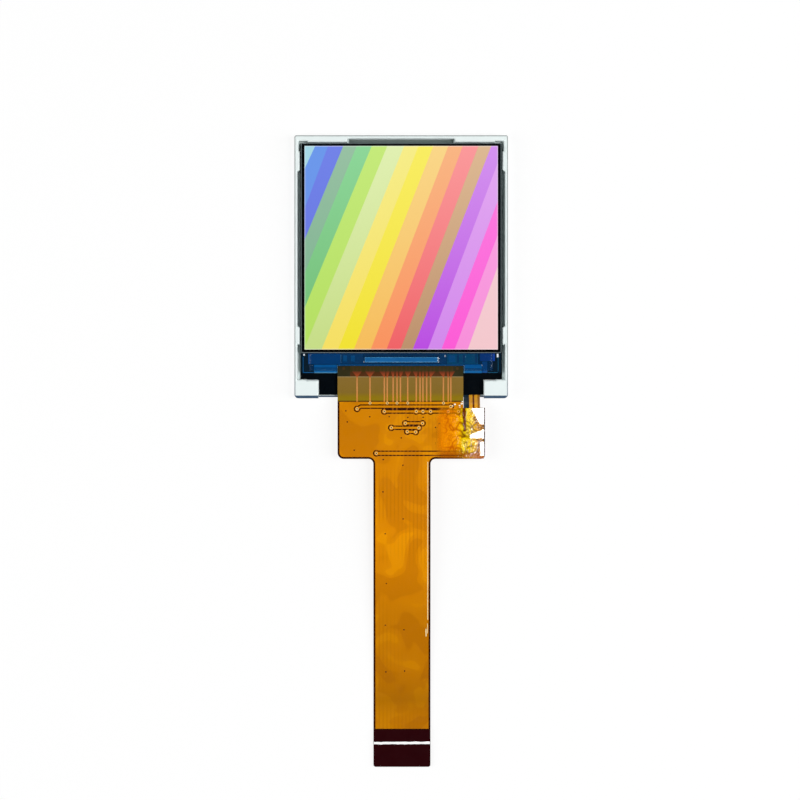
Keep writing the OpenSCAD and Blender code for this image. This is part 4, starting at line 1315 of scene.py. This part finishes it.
# %% Painted glints
# X, Y and radius of each white bead of painted glint, in millimetres
GLINT_BEADS = [
    (6.75, -18.25, 0.1), (7.05, -18.05, 0.15), (7.66, -18.2, 0.13), (7.95, -17.95, 0.17),
    (7.72, -18.42, 0.09), (8.02, -17.68, 0.11), (8.95, -18.6, 0.12), (10.1, -18.5, 0.1),
]
GLINT_SQUASH = (1, 0.8, 0.35)
mesh = bmesh.new()
for x, y, size in GLINT_BEADS:
    made = bmesh.ops.create_icosphere(mesh, subdivisions=2, radius=size * MM)["verts"]
    bmesh.ops.scale(mesh, verts=made, vec=GLINT_SQUASH)
    bmesh.ops.translate(mesh, verts=made, vec=Vector((x, y, flex_high.z + EMBOSS)) * MM)
# Painted glints: creamy white drops with a soft gloss
glint_paint = finish("painted_white_glints", "#fffdf0", "#f6ecc8", 0.4, 0.1, (0.15, 0.3), 0.002)
piece("painted_glint_beads", mesh, glint_paint, "lead_solder", smooth=True)

# %% [markdown]
# ## The light sources' own tail
# The narrow circuit of the light sources comes out over the frame's lower rail:
# two leads in dark film, soldered at their ends. Its CAD nodes stay as they are
# and take their stripes from the finish, and only the leads rise a little.

# %% Light sources' tail
LEAD_LOW_Y, LEAD_HIGH_Y = -20.35, -16.7
film_points = [v.co for v in frame["nodes"]["led_flex_film"].data.vertices]
tail_xs = [point.x for point in film_points if point.y < frame_low.y * MM]


def striped_tail(tree, place, axes):
    """Dark slate beside the leads, red-brown film under them, and a painted highlight near the
    right edge.
    """
    return 1.0, shades_along(tree, axes["X"], min(tail_xs), max(tail_xs), [
        (0.0, "#2a4050"), (0.32, "#16242e"), (0.35, "#5a2200"), (0.6, "#662a02"),
        (0.9, "#7a3c04"), (0.94, "#e0a030"), (1.0, "#6a3a08"),
    ])


# Film over the black tape: slate and brown, with a painted highlight along one edge
tail_film = finish(
    "dark_polyimide_film", "#5a2c10", "#3c1a0a", 0.8, 0.4, (0.16, 0.24), 0.002,
    colour=striped_tail,
)
dress(tail_film, "led_flex_film", "led_flex_coverlay")
# Copper through its coverlay: two clear gold strokes
lead_copper = finish("leads_under_coverlay", "#f4b430", "#dc901c", 0.5, 0.2, (0.14, 0.22), 0.002)
mesh = between("led_flex_copper", LEAD_LOW_Y, LEAD_HIGH_Y, BASE_T + COVER_T + EMBOSS)
piece("lead_relief", mesh, lead_copper, "led_flex_copper")
# Tin solder, melted and set: a soft silver shine under the tape
solder_metal = finish(
    "bright_tin_solder", "#d2d0c8", "#b4b2aa", 0.6, 0.15, (0.18, 0.3), 0.003, Metallic=1.0,
)
dress(solder_metal, "lead_solder")

# %% [markdown]
# ## Films and tapes inside
# The rest lies under the glass or inside the frame, and shows only in gaps and
# from behind. Each still gets the finish of what it is.

# %% Black tape
RECESS_EDGE = 0.05  # how far above the front glass the grey begins


def tape_tone(tree, place, axes):
    """Black, and grey in the recess above the cell, where light leaks through the frame's floor."""
    above = add_node(
        tree, MATH, {0: axes["Y"], 1: (cover_high.y + RECESS_EDGE) * MM}, operation="GREATER_THAN",
    )
    return above.outputs[0], linear("#6c7875")


# Dyed polyester tape: blue-black and glossy
black_tape = finish(
    "black_polyester_tape", "#050b12", "#03070b", 2.5, 0.6, (0.1, 0.16), 0.0006,
    colour=tape_tone, IOR=1.45,
)
dress(black_tape, "rim_tape")

# %% Inner finishes
# Name, light and dark shade, sizes of blotch and grain, roughness, relief, the shader's other
# settings, and the CAD nodes that have the finish
INNER = [
    # A cool mirror with a fine haze
    ("silvered_reflector_film", "#e9ecef", "#dde1e5", 6.0, 0.3, (0.18, 0.26), 0.001,
     {"Metallic": 0.85}, ["reflector_film"]),
    # Clear acrylic with a pale blue-green body and a smooth gloss
    ("moulded_acrylic", "#dfeef0", "#d2e6ea", 4.0, 0.3, (0.05, 0.1), 0.0005,
     {"IOR": 1.49}, ["light_guide"]),
    # Milky and dull, as its surface is full of small beads
    ("matt_diffuser_film", "#f0f2f2", "#e6e9ea", 3.0, 0.1, (0.5, 0.65), 0.002,
     {"IOR": 1.55}, ["diffuser_film"]),
    # Silky, from ribs too fine to be seen one by one
    ("ribbed_prism_film", "#e2e7ea", "#d4dade", 3.0, 0.05, (0.15, 0.3), 0.002,
     {"IOR": 1.6}, ["lower_prism_film", "upper_prism_film"]),
    # Neutral dark grey with a clear gloss
    ("grey_polarizer_film", "#33363a", "#2a2c30", 4.0, 0.3, (0.1, 0.18), 0.0005,
     {"IOR": 1.49}, ["rear_polarizer"]),
    # A dark, half dull line of glue
    ("cured_epoxy_seal", "#3c3c40", "#2e2e32", 0.8, 0.2, (0.3, 0.45), 0.001,
     {"IOR": 1.55}, ["cell_seal"]),
    # A smooth grey layer between the glasses
    ("liquid_crystal_layer", "#8c8f9c", "#7a7d8b", 3.0, 0.5, (0.05, 0.1), 0.0002,
     {"IOR": 1.55}, ["liquid_crystal"]),
    # Olive glue with a grain of metal particles
    ("cured_conductive_film", "#4a4524", "#3a361c", 0.8, 0.1, (0.3, 0.45), 0.001,
     {"IOR": 1.55}, ["bond_film"]),
    # Pale yellow plastic, a little rough from its mould
    ("moulded_led_shell", "#f1e7a8", "#e8dc8c", 0.8, 0.1, (0.35, 0.5), 0.001,
     {"IOR": 1.55}, ["led_1", "led_2", "led_3"]),
]
for *look, settings, nodes in INNER:
    dress(finish(*look, **settings), *nodes)
